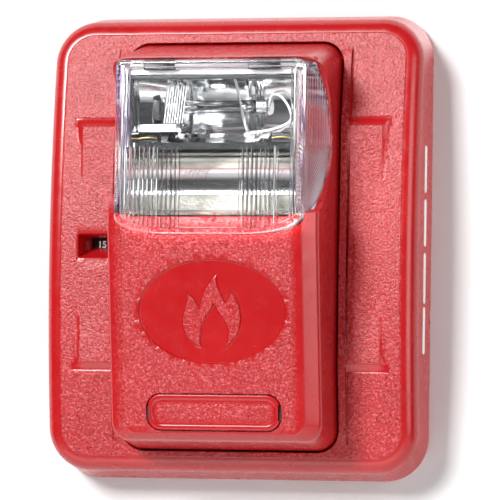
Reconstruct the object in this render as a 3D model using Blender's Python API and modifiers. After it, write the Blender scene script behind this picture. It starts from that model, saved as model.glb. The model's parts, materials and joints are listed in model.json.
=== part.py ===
"""Wall-mount horn strobe: a red alarm head with a clear strobe lens, on a mounting plate.

X is across, Z is up and -Y points out of the wall. The origin is the centre of the mounting
plate's back face, on the wall. A place is given as (x, d, z), where d is the height over the wall.
"""

import math

import bmesh
import bpy
from mathutils import Matrix, Vector

MM = 0.001
GAP = 0.3 * MM  # between pieces that touch

# Housing: the wide face plate of the head
HOUSING_W = 114.3 * MM
HOUSING_H = 139.7 * MM
HOUSING_CORNER = 13.0 * MM
HOUSING_WALL = 2.4 * MM
HOUSING_RIM_D = 0.4 * MM
HOUSING_DRAFT = 0.3 * MM
RIM_FILLET = 4.4 * MM
FACE_TOP_D = 21.5 * MM  # crown of the domed face
FACE_FALL = 4.8 * MM  # how far the dome falls at FACE_REACH from its crown
FACE_REACH = 60.0 * MM
FACE_CROWN_Z = -1.5 * MM

# Flat middle panel on the face, and the opening for the cover
PANEL_HALF_W = 48.5 * MM
PANEL_HALF_H = 37.8 * MM
PANEL_SLOPE = 2.2 * MM
PANEL_D = 21.0 * MM
OPENING_HALF_W = 33.3 * MM
OPENING_Z = (-61.6 * MM, 60.6 * MM)
OPENING_CORNER = 6.8 * MM

# Centre cover
COVER_CLEAR = 0.5 * MM  # sound gap round the cover
COVER_FOOT_D = 13.0 * MM
COVER_WALL = 2.2 * MM
SHOULDER_HALF_W = 32.0 * MM
FRONT_HALF_W = 27.0 * MM
SHOULDER_DROP = 2.4 * MM
FRONT_D = 44.8 * MM  # front face at LENS_FOOT_Z
FRONT_SLOPE = 9.3 / 61.5  # the front leans back towards the bottom
LENS_FOOT_Z = 3.0 * MM
SHOULDER_Z = (-58.8 * MM, 54.0 * MM)
FRONT_Z = (-56.6 * MM, 53.2 * MM)
LENS_HOLE_HALF_W = 25.6 * MM
LENS_HOLE_Z = (6.6 * MM, 51.6 * MM)
LINER_X = (25.4 * MM, 30.6 * MM)  # span of the curved wall under each wing
LINER_WALL = 1.8  # mm
SCOOP_CLEAR = 0.4  # mm, between the wing and its scoop

# Lens
LENS_HALF_W = 27.9 * MM
LENS_Z = (1.1 * MM, 52.3 * MM)
LENS_D = 49.6 * MM
LENS_WALL = 1.8 * MM
LENS_CURVE = (16.0 * MM, 5.2 * MM)  # reach and rise of the curve at its lower corners
WING_HALF_W = 32.4 * MM
WING_R = 24.0 * MM
WING_CENTRE = (52.3 * MM, 30.5 * MM)  # (d, z)

# Inner layout, as heights over the wall
PLATE_D = 2.6 * MM
PLATE_RIM_D = 7.6 * MM
CHASSIS_D = (8.4 * MM, 10.2 * MM)
PCB_D = (17.0 * MM, 18.6 * MM)
TERMINAL_X = (-15.0 * MM, -5.0 * MM, 5.0 * MM, 15.0 * MM)
BOX_SCREW_X = (-23.0 * MM, 0.0, 23.0 * MM)
BOX_SCREW_Z = 41.65 * MM
HOUSING_POST = (45.4 * MM, 50.0 * MM)
COVER_POST = (26.5 * MM, 55.5 * MM)
PCB_POST = (24.0 * MM, 46.0 * MM)
SOUNDER_Z = -21.0 * MM
TUBE_D = 36.0 * MM
TUBE_Z = 39.5 * MM
HINGE_D = HOUSING_RIM_D
HINGE_Z = HOUSING_H / 2
LOCK_D = 5.4 * MM
LOCK_Z = -36.0 * MM
LOCK_BOSS_R, LOCK_RECESS_R, LOCK_BORE_R, LOCK_THREAD_R = 4.6, 3.2, 1.9, 1.8  # mm
WIRE_ENTRY_HALF_W = 17.0 * MM
WIRE_ENTRY_Z = (9.0 * MM, 35.0 * MM)
CORNERS = ((1, 1), (-1, 1), (-1, -1), (1, -1))  # signs of x and z

# Turned profiles as (radius, d) points in mm
BOBBIN_PROFILE = (
    *((5.5, 28.0), (5.5, 26.6), (3.6, 26.4), (3.6, 20.6)),
    *((5.5, 20.4), (5.5, 18.9), (0.0, 18.9), (0.0, 28.0)),
)
SOUNDER_CASE_PROFILE = (
    *((21.8, 30.0), (21.8, 18.9), (0.0, 18.9), (0.0, 20.5)),
    *((17.4, 20.5), (17.4, 23.6), (19.8, 23.6), (19.8, 30.0)),
)

for leftover in list(bpy.data.objects):
    bpy.data.objects.remove(leftover)

PARTS = bpy.data.collections.new("horn_strobe")
CUTTERS = bpy.data.collections.new("cutters")
bpy.context.scene.collection.children.link(PARTS)
bpy.context.scene.collection.children.link(CUTTERS)


def material(name, colour, roughness, metallic=0.0, transmission=0.0):
    made = bpy.data.materials.new(name)
    made.use_nodes = True
    shader = made.node_tree.nodes["Principled BSDF"]
    shader.inputs["Base Color"].default_value = (*colour, 1.0)
    shader.inputs["Roughness"].default_value = roughness
    shader.inputs["Metallic"].default_value = metallic
    shader.inputs["Transmission Weight"].default_value = transmission
    return made


RED = material("red_plastic", (0.62, 0.02, 0.02), 0.45)
CLEAR = material("clear_plastic", (0.95, 0.96, 0.98), 0.05, transmission=1.0)
MIRROR = material("metallised_plastic", (0.85, 0.86, 0.88), 0.12, 1.0)
GLASS = material("tube_glass", (0.95, 0.97, 1.0), 0.02, transmission=1.0)
STEEL = material("plated_steel", (0.62, 0.62, 0.64), 0.3, 1.0)
BRASS = material("brass", (0.78, 0.58, 0.25), 0.3, 1.0)
BLACK = material("black_plastic", (0.02, 0.02, 0.022), 0.5)
WHITE = material("white_plastic", (0.8, 0.8, 0.78), 0.5)
BOARD = material("circuit_board", (0.02, 0.16, 0.06), 0.5)
COPPER = material("copper_winding", (0.6, 0.25, 0.1), 0.4, 0.8)
CERAMIC = material("piezo_ceramic", (0.85, 0.83, 0.76), 0.6)
SLEEVE = material("capacitor_sleeve", (0.03, 0.05, 0.16), 0.4)
FOAM = material("foam", (0.05, 0.05, 0.05), 0.95)


def at(x, d, z):
    """World point x across, d out from the wall and z up."""
    return Vector((x, -d, z))


def mm(x, d, z):
    """The same point from millimetres."""
    return at(x * MM, d * MM, z * MM)


def add(name, mesh, look, cutter=False):
    """Links the mesh as a sub-part, or as a hidden cutter."""
    made = bpy.data.objects.new(name, mesh)
    (CUTTERS if cutter else PARTS).objects.link(made)
    if look:
        mesh.materials.append(look)
    if cutter:
        made.hide_render = True
        made.display_type = "WIRE"
    return made


def from_bmesh(name, bm, look, cutter=False):
    mesh = bpy.data.meshes.new(name)
    bmesh.ops.recalc_face_normals(bm, faces=bm.faces)
    bm.to_mesh(mesh)
    bm.free()
    return add(name, mesh, look, cutter)


def box(name, xs, ds, zs, look=None, cutter=False):
    """Block between pairs of millimetre values of x, d and z."""
    low = mm(min(xs), max(ds), min(zs))
    high = mm(max(xs), min(ds), max(zs))
    bm = bmesh.new()
    place = Matrix.Translation((low + high) / 2) @ Matrix.Diagonal((*(high - low), 1.0))
    bmesh.ops.create_cube(bm, size=1.0, matrix=place)
    return from_bmesh(name, bm, look, cutter)


def rod(name, start, end, radius, look=None, sides=20, cutter=False, end_radius=None):
    """Cylinder or cone from start to end, which are world points; the radius is in millimetres."""
    along = end - start
    turn = along.to_track_quat("Z", "Y").to_matrix().to_4x4()
    bm = bmesh.new()
    bmesh.ops.create_cone(
        bm,
        cap_ends=True,
        segments=sides,
        radius1=radius * MM,
        radius2=(radius if end_radius is None else end_radius) * MM,
        depth=along.length,
        matrix=Matrix.Translation((start + end) / 2) @ turn,
    )
    made = from_bmesh(name, bm, look, cutter)
    if not cutter:
        made.data.shade_smooth()
        made.data.set_sharp_from_angle(angle=math.radians(35))
    return made


def modify(target, cutter, operation):
    step = target.modifiers.new(cutter.name, "BOOLEAN")
    step.operation = operation
    step.object = cutter
    step.solver = "EXACT"


def cut(target, *cutters):
    for cutter in cutters:
        modify(target, cutter, "DIFFERENCE")


def join(target, *pieces):
    for piece in pieces:
        modify(target, piece, "UNION")


def rounded_rect(half_w, zs, radius, arc=6, tall=1, wide=1):
    """Closed outline of (x, z) points, with each corner an arc and each side in equal spans."""
    low, high = zs
    corners = (
        (half_w - radius, low + radius, -90),
        (half_w - radius, high - radius, 0),
        (radius - half_w, high - radius, 90),
        (radius - half_w, low + radius, 180),
    )
    points = []
    for index, (x, z, first) in enumerate(corners):
        for step in range(arc + 1):
            angle = math.radians(first + 90 * step / arc)
            points.append((x + radius * math.cos(angle), z + radius * math.sin(angle)))
        next_x, next_z, next_first = corners[(index + 1) % 4]
        angle = math.radians(next_first)
        ahead = (next_x + radius * math.cos(angle), next_z + radius * math.sin(angle))
        spans = tall if index % 2 == 0 else wide
        last = points[-1]
        for step in range(1, spans):
            share = step / spans
            points.append(
                (last[0] + (ahead[0] - last[0]) * share, last[1] + (ahead[1] - last[1]) * share)
            )
    return points


def prism(name, outline, ds, look=None, cutter=False):
    """A filled 2D curve of (x, z) points, extruded between two heights and made a mesh."""
    curve = bpy.data.curves.new(name, "CURVE")
    curve.dimensions = "2D"
    curve.fill_mode = "BOTH"
    curve.extrude = (ds[1] - ds[0]) / 2
    spline = curve.splines.new("POLY")
    spline.points.add(len(outline) - 1)
    for point, (x, z) in zip(spline.points, outline):
        point.co = (x, z, 0, 1)
    spline.use_cyclic_u = True
    guide = bpy.data.objects.new(name + "_outline", curve)
    PARTS.objects.link(guide)
    # The curve's own plane stands up, and its normal points out of the wall.
    guide.matrix_world = Matrix.Translation(at(0, sum(ds) / 2, 0)) @ Matrix.Rotation(
        math.radians(90), 4, "X"
    )
    return mesh_of_curve(name, guide, look, cutter)


def mesh_of_curve(name, guide, look=None, cutter=False):
    """Replaces a curve object by a mesh object with its caps welded on."""
    bpy.context.view_layer.update()
    graph = bpy.context.evaluated_depsgraph_get()
    mesh = bpy.data.meshes.new_from_object(guide.evaluated_get(graph))
    mesh.name = name
    mesh.materials.clear()
    bm = bmesh.new()
    bm.from_mesh(mesh)
    bmesh.ops.remove_doubles(bm, verts=bm.verts, dist=0.001 * MM)
    bmesh.ops.recalc_face_normals(bm, faces=bm.faces)
    bm.to_mesh(mesh)
    bm.free()
    place = guide.matrix_world.copy()
    curve = guide.data
    bpy.data.objects.remove(guide)
    bpy.data.curves.remove(curve)
    made = add(name, mesh, look, cutter)
    made.matrix_world = place
    return made


def loft(name, rings, look=None, closed=False, cutter=False):
    """Skins rings of world points; a closed loft joins the last ring to the first."""
    bm = bmesh.new()
    rows = [[bm.verts.new(point) for point in ring] for ring in rings]
    count = len(rows[0])
    following = rows[1:] + rows[:1] if closed else rows[1:]
    for row, after in zip(rows, following):
        for i in range(count):
            j = (i + 1) % count
            bm.faces.new((row[i], row[j], after[j], after[i]))
    if not closed:
        bm.faces.new(rows[0])
        bm.faces.new(rows[-1])
    return from_bmesh(name, bm, look, cutter)


def wire(name, points, radius, look):
    """Round wire on a POLY spline through millimetre points."""
    curve = bpy.data.curves.new(name, "CURVE")
    curve.dimensions = "3D"
    curve.bevel_depth = radius * MM
    curve.bevel_resolution = 1
    curve.use_fill_caps = True
    spline = curve.splines.new("POLY")
    spline.points.add(len(points) - 1)
    for point, place in zip(spline.points, points):
        point.co = (*mm(*place), 1)
    guide = bpy.data.objects.new(name, curve)
    curve.materials.append(look)
    PARTS.objects.link(guide)
    return guide


def turned(name, profile, centre, look, sides=32, cutter=False):
    """Turned piece on an axis out of the wall, from (radius, d) millimetre points, outer side first."""
    bm = bmesh.new()
    corners = [bm.verts.new((r * MM, 0, d * MM)) for r, d in profile]
    for first, second in zip(corners, corners[1:] + corners[:1]):
        bm.edges.new((first, second))
    mesh = bpy.data.meshes.new(name)
    bm.to_mesh(mesh)
    bm.free()
    made = add(name, mesh, look, cutter)
    spin = made.modifiers.new("Screw", "SCREW")
    spin.steps = sides
    spin.render_steps = sides
    spin.use_merge_vertices = True
    spin.merge_threshold = 0.01 * MM
    made.matrix_world = Matrix.Translation(centre) @ Matrix.Rotation(math.radians(90), 4, "X")
    return made


def face_d(z):
    """Height of the housing's domed face at z."""
    return FACE_TOP_D - FACE_FALL * ((z - FACE_CROWN_Z) / FACE_REACH) ** 2


def front_d(z):
    """Height of the cover's front face at z; it is level where the lens covers it."""
    return FRONT_D - FRONT_SLOPE * max(0.0, LENS_FOOT_Z - z)


def housing_ring(inset, depth, arc=6):
    """Ring inset from the outer outline, at a height worked out from z."""
    half_h = HOUSING_H / 2 - inset
    radius = max(HOUSING_CORNER - inset, 3 * MM)
    outline = rounded_rect(HOUSING_W / 2 - inset, (-half_h, half_h), radius, arc, tall=14, wide=6)
    return [at(x, depth(z), z) for x, z in outline]


def make_housing():
    def fillet(step):
        angle = math.radians(90 * step / 3)
        inset = HOUSING_DRAFT + RIM_FILLET * (1 - math.cos(angle))
        return housing_ring(inset, lambda z: face_d(z) - RIM_FILLET * (1 - math.sin(angle)))

    def opening_ring(drop):
        outline = rounded_rect(
            OPENING_HALF_W, OPENING_Z, OPENING_CORNER, 6, tall=14, wide=6
        )
        return [at(x, face_d(z) - drop, z) for x, z in outline]

    inner = HOUSING_WALL + HOUSING_DRAFT
    rings = [housing_ring(0, lambda z: HOUSING_RIM_D)]
    rings += [fillet(step) for step in range(4)]
    rings += [opening_ring(0), opening_ring(HOUSING_WALL)]
    rings += [
        housing_ring(inner, lambda z: face_d(z) - HOUSING_WALL),
        housing_ring(HOUSING_WALL, lambda z: HOUSING_RIM_D),
    ]
    housing = loft("housing", rings, RED, closed=True)

    # Flat panel, with sloped top and bottom, let into the dome
    def panel_ring(depth, grow):
        half_w, half_h = PANEL_HALF_W + grow / 3, PANEL_HALF_H + grow
        corners = ((half_w, -half_h), (half_w, half_h), (-half_w, half_h), (-half_w, -half_h))
        return [at(x, depth, z) for x, z in corners]

    panel = loft(
        "panel_shape",
        [panel_ring(19.3 * MM, 0), panel_ring(PANEL_D, -PANEL_SLOPE)],
        cutter=True,
    )
    opening = prism(
        "opening_shape",
        rounded_rect(OPENING_HALF_W, OPENING_Z, OPENING_CORNER),
        (5 * MM, 30 * MM),
        cutter=True,
    )
    window_tube = box("window_tube_shape", (-48.0, -34.4), (12.8, 20.4), (-5.9, 4.6), cutter=True)

    def window_ring(depth, xs, zs):
        places = ((xs[1], zs[0]), (xs[1], zs[1]), (xs[0], zs[1]), (xs[0], zs[0]))
        return [mm(x, depth, z) for x, z in places]

    window = loft(
        "window_shape",
        [
            window_ring(12.0, (-44.7, -36.1), (-0.8, 2.2)),
            window_ring(22.5, (-46.7, -35.6), (-4.5, 2.95)),
        ],
        cutter=True,
    )
    join(housing, panel, window_tube)
    cut(housing, opening, window)
    half_x, half_z = (value / MM for value in HOUSING_POST)
    for index, (sx, sz) in enumerate(CORNERS):
        x, z = sx * half_x, sz * half_z
        join(housing, rod(f"post_shape_{index}", mm(x, 10.5, z), mm(x, 17, z), 3.2, sides=12, cutter=True))
        cut(housing, rod(f"post_bore_{index}", mm(x, 5, z), mm(x, 15, z), 1.6, sides=12, cutter=True))
    # Boss and recess in the left wall for the lock screw
    lock_z = LOCK_Z / MM
    lock_d = LOCK_D / MM
    boss_ends = (mm(-55.6, lock_d, lock_z), mm(-51.3, lock_d, lock_z))
    outside = mm(-60, lock_d, lock_z)
    join(housing, rod("lock_boss", *boss_ends, LOCK_BOSS_R, sides=16, cutter=True))
    cut(
        housing,
        rod("lock_recess", outside, mm(-53.6, lock_d, lock_z), LOCK_RECESS_R, sides=20, cutter=True),
        rod("lock_bore", outside, mm(-50, lock_d, lock_z), LOCK_BORE_R, sides=16, cutter=True),
    )


def on_front(outline, ds, name):
    """Prism whose outline lies on the cover's sloped front: x and z from SOUNDER_Z, d from the face."""
    made = prism(name, outline, ds, cutter=True)
    lean = Matrix.Rotation(math.atan(FRONT_SLOPE), 4, "X")
    made.matrix_world = Matrix.Translation(at(0, front_d(SOUNDER_Z), SOUNDER_Z)) @ lean @ made.matrix_world
    return made


def ellipse(half_w, half_h, steps=36):
    turns = [math.tau * step / steps for step in range(steps)]
    return [(half_w * math.cos(turn), half_h * math.sin(turn)) for turn in turns]


def stadium(half_w, half_h, centre_z):
    return rounded_rect(half_w, (centre_z - half_h, centre_z + half_h), half_h * 0.98, arc=6)


BADGE_HALF = (20.4 * MM, 5.6 * MM)
BADGE_Z = -29.9 * MM  # from SOUNDER_Z, along the front
OVAL_HALF = (22.4 * MM, 15.5 * MM)


def make_center_cover():
    half_foot = OPENING_HALF_W - COVER_CLEAR
    foot_z = (OPENING_Z[0] + COVER_CLEAR, OPENING_Z[1] - COVER_CLEAR)

    def ring(half_w, zs, radius, depth):
        outline = rounded_rect(half_w, zs, radius, 5, tall=2, wide=2)
        return [at(x, depth(z), z) for x, z in outline]

    wall = COVER_WALL
    rings = [
        ring(half_foot, foot_z, 6.3 * MM, lambda z: COVER_FOOT_D),
        ring(SHOULDER_HALF_W, SHOULDER_Z, 5.4 * MM, lambda z: front_d(z) - SHOULDER_DROP),
        ring(FRONT_HALF_W, FRONT_Z, 3.0 * MM, front_d),
        ring(LENS_HOLE_HALF_W, LENS_HOLE_Z, 1.6 * MM, front_d),
        ring(LENS_HOLE_HALF_W, LENS_HOLE_Z, 1.6 * MM, lambda z: front_d(z) - wall),
        ring(
            FRONT_HALF_W - 0.8 * MM,
            (FRONT_Z[0] + wall, FRONT_Z[1] - wall / 2),
            1.8 * MM,
            lambda z: front_d(z) - wall,
        ),
        ring(
            SHOULDER_HALF_W - wall,
            (SHOULDER_Z[0] + wall, SHOULDER_Z[1] - wall),
            3.4 * MM,
            lambda z: front_d(z) - SHOULDER_DROP - wall,
        ),
        ring(
            half_foot - wall,
            (foot_z[0] + wall, foot_z[1] - wall),
            4.2 * MM,
            lambda z: COVER_FOOT_D,
        ),
    ]
    cover = loft("center_cover", rings, RED, closed=True)
    scoop = rod(
        "scoop_shape",
        at(-50 * MM, *WING_CENTRE),
        at(50 * MM, *WING_CENTRE),
        WING_R / MM + SCOOP_CLEAR,
        sides=56,
        cutter=True,
    )
    # Curved walls that close the scoop under the lens's wings
    for side in (-1, 1):
        liner = rod(
            f"liner_shape_{side}",
            at(side * LINER_X[0], *WING_CENTRE),
            at(side * LINER_X[1], *WING_CENTRE),
            WING_R / MM + LINER_WALL,
            sides=56,
            cutter=True,
        )
        span = box(f"liner_span_{side}", (side * 20, side * 35), (20, 41), (0, 60), cutter=True)
        modify(liner, span, "INTERSECT")
        join(cover, liner)
    oval = on_front(ellipse(*OVAL_HALF), (-0.6 * MM, 3 * MM), "oval_shape")
    badge = on_front(stadium(*BADGE_HALF, BADGE_Z), (-1.1 * MM, 3 * MM), "badge_shape")
    cut(cover, scoop, oval, badge)
    half_x, half_z = (value / MM for value in COVER_POST)
    for index, (sx, sz) in enumerate(CORNERS):
        x, z = sx * half_x, sz * half_z
        top = 30 if sz < 0 else 19
        join(cover, rod(f"cover_post_{index}", mm(x, 10.5, z), mm(x, top, z), 3.0, sides=12, cutter=True))
        cut(cover, rod(f"cover_bore_{index}", mm(x, 5, z), mm(x, 17, z), 1.6, sides=12, cutter=True))


def make_nameplate():
    outline = stadium(BADGE_HALF[0] - GAP, BADGE_HALF[1] - GAP, BADGE_Z)
    plate = on_front(outline, (-0.8 * MM, 0.5 * MM), "nameplate_insert")
    CUTTERS.objects.unlink(plate)
    PARTS.objects.link(plate)
    plate.hide_render = False
    plate.display_type = "TEXTURED"
    plate.data.materials.append(RED)
    recess = on_front(stadium(18.2 * MM, 4.1 * MM, BADGE_Z), (0.0, 3 * MM), "nameplate_recess")
    cut(plate, recess)


def lens_outline(inset):
    """Front outline of the lens: square at the top, with a shallow curve up to each lower corner."""
    half_w = LENS_HALF_W - inset
    low, high = LENS_Z[0] + inset, LENS_Z[1] - inset
    points = []
    for side in (-1, 1):
        for step in range(9):
            angle = math.radians(90 * step / 8)
            share = math.sin(angle) if side > 0 else math.cos(angle)
            rise = 1 - (math.cos(angle) if side > 0 else math.sin(angle))
            x = side * (half_w - LENS_CURVE[0] + LENS_CURVE[0] * share)
            points.append((x, low + LENS_CURVE[1] * rise))
    # The upper edge is wider, so that the outline clears the spread of the wings.
    wide = WING_HALF_W + 5 * MM - inset
    above = low + LENS_CURVE[1]
    return [*points, (wide, above), (wide, high), (-wide, high), (-wide, above)]


def trapezoid(front_half, rear_half, front, rear, zs, name):
    """Block that is front_half wide at its front and rear_half wide at its rear."""
    places = ((front_half, front), (-front_half, front), (-rear_half, rear), (rear_half, rear))
    return loft(name, [[at(x, d, z) for x, d in places] for z in zs], cutter=True)


def make_lens():
    depth_span = LENS_D - 28.3 * MM
    spread = (WING_HALF_W - LENS_HALF_W) / depth_span

    def half_at(d):
        return LENS_HALF_W + spread * (LENS_D - d)

    d, z = WING_CENTRE
    # Half-round wings seen from the side, cut off flat at the front
    lens = rod("lens", at(-40 * MM, d, z), at(40 * MM, d, z), WING_R / MM, CLEAR, sides=56)
    slab = box("lens_slab", (-39, 39), (46.2, 60), (-2, 56), cutter=True)
    join(lens, slab)
    tall = (LENS_Z[0] - 5 * MM, LENS_Z[1] + 5 * MM)
    outer = trapezoid(LENS_HALF_W, half_at(20 * MM), LENS_D, 20 * MM, tall, "lens_outer")
    modify(lens, outer, "INTERSECT")
    modify(lens, prism("lens_front", lens_outline(0.0), (10 * MM, 60 * MM), cutter=True), "INTERSECT")
    wall = LENS_WALL
    inner = trapezoid(
        LENS_HALF_W - wall,
        half_at(20 * MM) - wall,
        LENS_D - wall,
        20 * MM,
        tall,
        "lens_inner",
    )
    smile = prism("lens_inside", lens_outline(wall), (8 * MM, 62 * MM), cutter=True)
    modify(inner, smile, "INTERSECT")
    cut(lens, inner)
    # The lens's many nearly flat curves need the exact arithmetic of the manifold solver
    for step in [*lens.modifiers, *inner.modifiers]:
        step.solver = "MANIFOLD"
    lens.data.set_sharp_from_angle(angle=math.radians(25))


def arc_points(centre, radius, first, last, steps):
    """Points (z, d) in millimetres on an arc; angles are in degrees, 0 along +z and 90 outwards."""
    found = []
    for step in range(steps + 1):
        angle = math.radians(first + (last - first) * step / steps)
        found.append((centre[0] + radius * math.cos(angle), centre[1] + radius * math.sin(angle)))
    return found


def side_prism(name, outline, xs, look=None, cutter=False):
    """Outline of (z, d) millimetre points, extruded between two x values."""
    rings = [[mm(x, d, z) for z, d in outline] for x in xs]
    return loft(name, rings, look, cutter=cutter)


REFLECTOR_WALL = 1.4
# Trough arcs of the reflector in millimetres and degrees: centre (z, d), radius, first and last angle
TROUGHS = (((38.2, 43.0), 10.4, 8, -172), ((16.0, 43.5), 10.2, -4, -172))


def make_reflector():
    pieces = []
    for index, (centre, radius, first, last) in enumerate(TROUGHS):
        front = arc_points(centre, radius, first, last, 12)
        back = arc_points(centre, radius + REFLECTOR_WALL, first, last, 12)
        look = None if index else MIRROR
        name = "reflector_lower" if index else "reflector"
        pieces.append(side_prism(name, front + back[::-1], (-25.0, 25.0), look, cutter=bool(index)))
        for side in (-1, 1):
            xs = (side * 23.9, side * 25.2)
            cheek = arc_points(centre, radius + REFLECTOR_WALL + 0.2, first + 1, last - 1, 12)
            pieces.append(side_prism(f"cheek_{index}_{side}", cheek, xs, cutter=True))
    wall = pieces[0]
    ridge = box("reflector_ridge", (-24.5, 24.5), (40.6, 43.4), (25.6, 28.3), cutter=True)
    join(wall, *pieces[1:], ridge)
    for side in (-1, 1):
        for z in (16.0, 38.2):
            xs = (side * 21.0, side * 23.5)
            join(wall, box(f"leg_{side}_{z:.0f}", xs, (18.9, 33.0), (z - 2, z + 2), cutter=True))
        x = side * 16.5
        cut(wall, rod(f"lead_hole_{side}", mm(x, 20, 41.5), mm(x, 36, 41.5), 1.2, sides=10, cutter=True))
    cut(wall, rod("trigger_hole", mm(1.5, 20, 35.5), mm(1.5, 36, 35.5), 0.9, sides=10, cutter=True))


def make_flash_tube():
    d, z = TUBE_D / MM, TUBE_Z / MM
    rod("flash_tube", mm(-11.6, d, z), mm(11.6, d, z), 2.0, GLASS, sides=20)
    for side, label in ((-1, "left"), (1, "right")):
        rod(f"tube_cap_{label}", mm(side * 11.9, d, z), mm(side * 14.9, d, z), 2.3, STEEL, sides=18)
        points = [
            (side * 15.4, d, z),
            (side * 16.0, d - 0.3, z + 0.2),
            (side * 16.5, d - 1.2, z + 0.8),
            (side * 16.5, d - 3.0, z + 1.6),
            (side * 16.5, 30.0, 41.5),
            (side * 16.5, 18.9, 41.5),
        ]
        wire(f"lead_wire_{label}", points, 0.4, STEEL)
    wire(
        "trigger_wire",
        [(0.2, 38.4, 42.0), (0.8, 38.7, 39.0), (1.4, 37.6, 36.6), (1.5, 35.4, 35.7), (1.5, 18.9, 35.5)],
        0.3,
        STEEL,
    )


def make_chassis():
    outline = rounded_rect(53.6 * MM, (-66.2 * MM, 66.2 * MM), 9.5 * MM)
    chassis = prism("rear_chassis", outline, CHASSIS_D, BLACK)
    join(chassis, box("pocket_shape", (-25.6, 25.6), (9.0, 15.5), (-37.6, -6.4), cutter=True))
    cut(chassis, box("pocket_inside", (-24.0, 24.0), (0, 13.9), (-36.0, -8.0), cutter=True))
    for x in TERMINAL_X:
        x /= MM
        cut(chassis, box(f"pin_way_{x:.0f}", (x - 1.5, x + 1.5), (12, 17), (-30.0, -26.0), cutter=True))
    # Lips that hook behind the mounting plate's tabs, and windows that clear those tabs
    for side in (-1, 1):
        join(
            chassis,
            box(f"lip_leg_{side}", (side * 30.8, side * 42), (3.2, 9.5), (64.6, 66.0), cutter=True),
            box(f"lip_foot_{side}", (side * 30.8, side * 42), (3.2, 4.6), (60.8, 65.4), cutter=True),
        )
        window_x = (side * 30.0, side * 42.8)
        cut(chassis, box(f"tab_window_{side}", window_x, (6, 12), (55.6, 64.3), cutter=True))
    # Guide rails and knob slot of the candela selector
    join(
        chassis,
        box("rail_left", (-46.2, -45.0), (9.8, 12.4), (-18.6, 19.6), cutter=True),
        box("rail_right_top", (-36.2, -35.2), (9.8, 12.4), (5.5, 19.6), cutter=True),
    )
    cut(chassis, box("knob_slot", (-43.3, -37.9), (6, 12), (-10.0, 11.0), cutter=True))
    for side in (-1, 1):
        x = side * 12.0
        cut(chassis, box(f"switch_window_{side}", (x - 5, x + 5), (6, 12), (41.4, 46.6), cutter=True))
    for index, (sx, sz) in enumerate(CORNERS):
        for label, post in (("housing", HOUSING_POST), ("cover", COVER_POST)):
            x, z = sx * post[0] / MM, sz * post[1] / MM
            cut(chassis, rod(f"{label}_way_{index}", mm(x, 6, z), mm(x, 12, z), 1.9, sides=12, cutter=True))
        x, z = sx * PCB_POST[0] / MM, sz * PCB_POST[1] / MM
        join(chassis, rod(f"pcb_post_{index}", mm(x, 9.5, z), mm(x, 16.7, z), 3.0, sides=12, cutter=True))
        cut(chassis, rod(f"pcb_bore_{index}", mm(x, 11.5, z), mm(x, 20, z), 1.4, sides=12, cutter=True))
    # Post that the lock screw threads into
    lock_d, lock_z = LOCK_D / MM, LOCK_Z / MM
    join(chassis, box("lock_post", (-48.1, -44.4), (3.1, 9.0), (lock_z - 3, lock_z + 3), cutter=True))
    cut(chassis, box("lock_relief", (-56.0, -50.9), (7, 12), (lock_z - 5.2, lock_z + 5.2), cutter=True))
    thread_ends = (mm(-52, lock_d, lock_z), mm(-40, lock_d, lock_z))
    cut(chassis, rod("lock_thread", *thread_ends, LOCK_THREAD_R, sides=14, cutter=True))


def make_mounting_plate():
    outer = rounded_rect(50.5 * MM, (-63.0 * MM, 62.0 * MM), 8 * MM)
    inner = rounded_rect(48.7 * MM, (-61.2 * MM, 60.2 * MM), 6.2 * MM)
    plate = prism("mounting_plate", outer, (0.0, PLATE_RIM_D), WHITE)
    cut(plate, prism("plate_inside", inner, (PLATE_D, 20 * MM), cutter=True))
    # The rim is cut away at the top, where the head's lips reach in
    cut(plate, box("rim_gap", (-44, 44), (PLATE_D / MM, 20), (56, 70), cutter=True))
    entry = rounded_rect(WIRE_ENTRY_HALF_W, WIRE_ENTRY_Z, 4 * MM)
    cut(plate, prism("wire_entry", entry, (-5 * MM, 9 * MM), cutter=True))
    for side in (-1, 1):
        join(
            plate,
            box(f"tab_post_{side}", (side * 31.5, side * 41.2), (1.5, 9.2), (57.0, 58.6), cutter=True),
            box(f"tab_nose_{side}", (side * 31.5, side * 41.2), (7.7, 9.2), (57.8, 62.4), cutter=True),
        )
        for index, x in enumerate(BOX_SCREW_X):
            z = side * BOX_SCREW_Z
            shape = rounded_rect(6 * MM, (-2.5 * MM, 2.5 * MM), 2.45 * MM, 5)
            slot = [(x + px, z + pz) for px, pz in shape]
            cut(plate, prism(f"slot_{side}_{index}", slot, (-5 * MM, 9 * MM), cutter=True))
    # Stiffening ribs beside the wire entry
    for side in (-1, 1):
        join(plate, box(f"rib_{side}", (side * 33.0, side * 34.5), (1.5, 5.6), (-52, 52), cutter=True))
    lock_d, lock_z = LOCK_D / MM, LOCK_Z / MM
    slot_z = (lock_z - 2.3, lock_z + 2.3)
    cut(plate, box("lock_slot", (-56, -48.0), (lock_d - 2.2, 20), slot_z, cutter=True))


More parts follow.
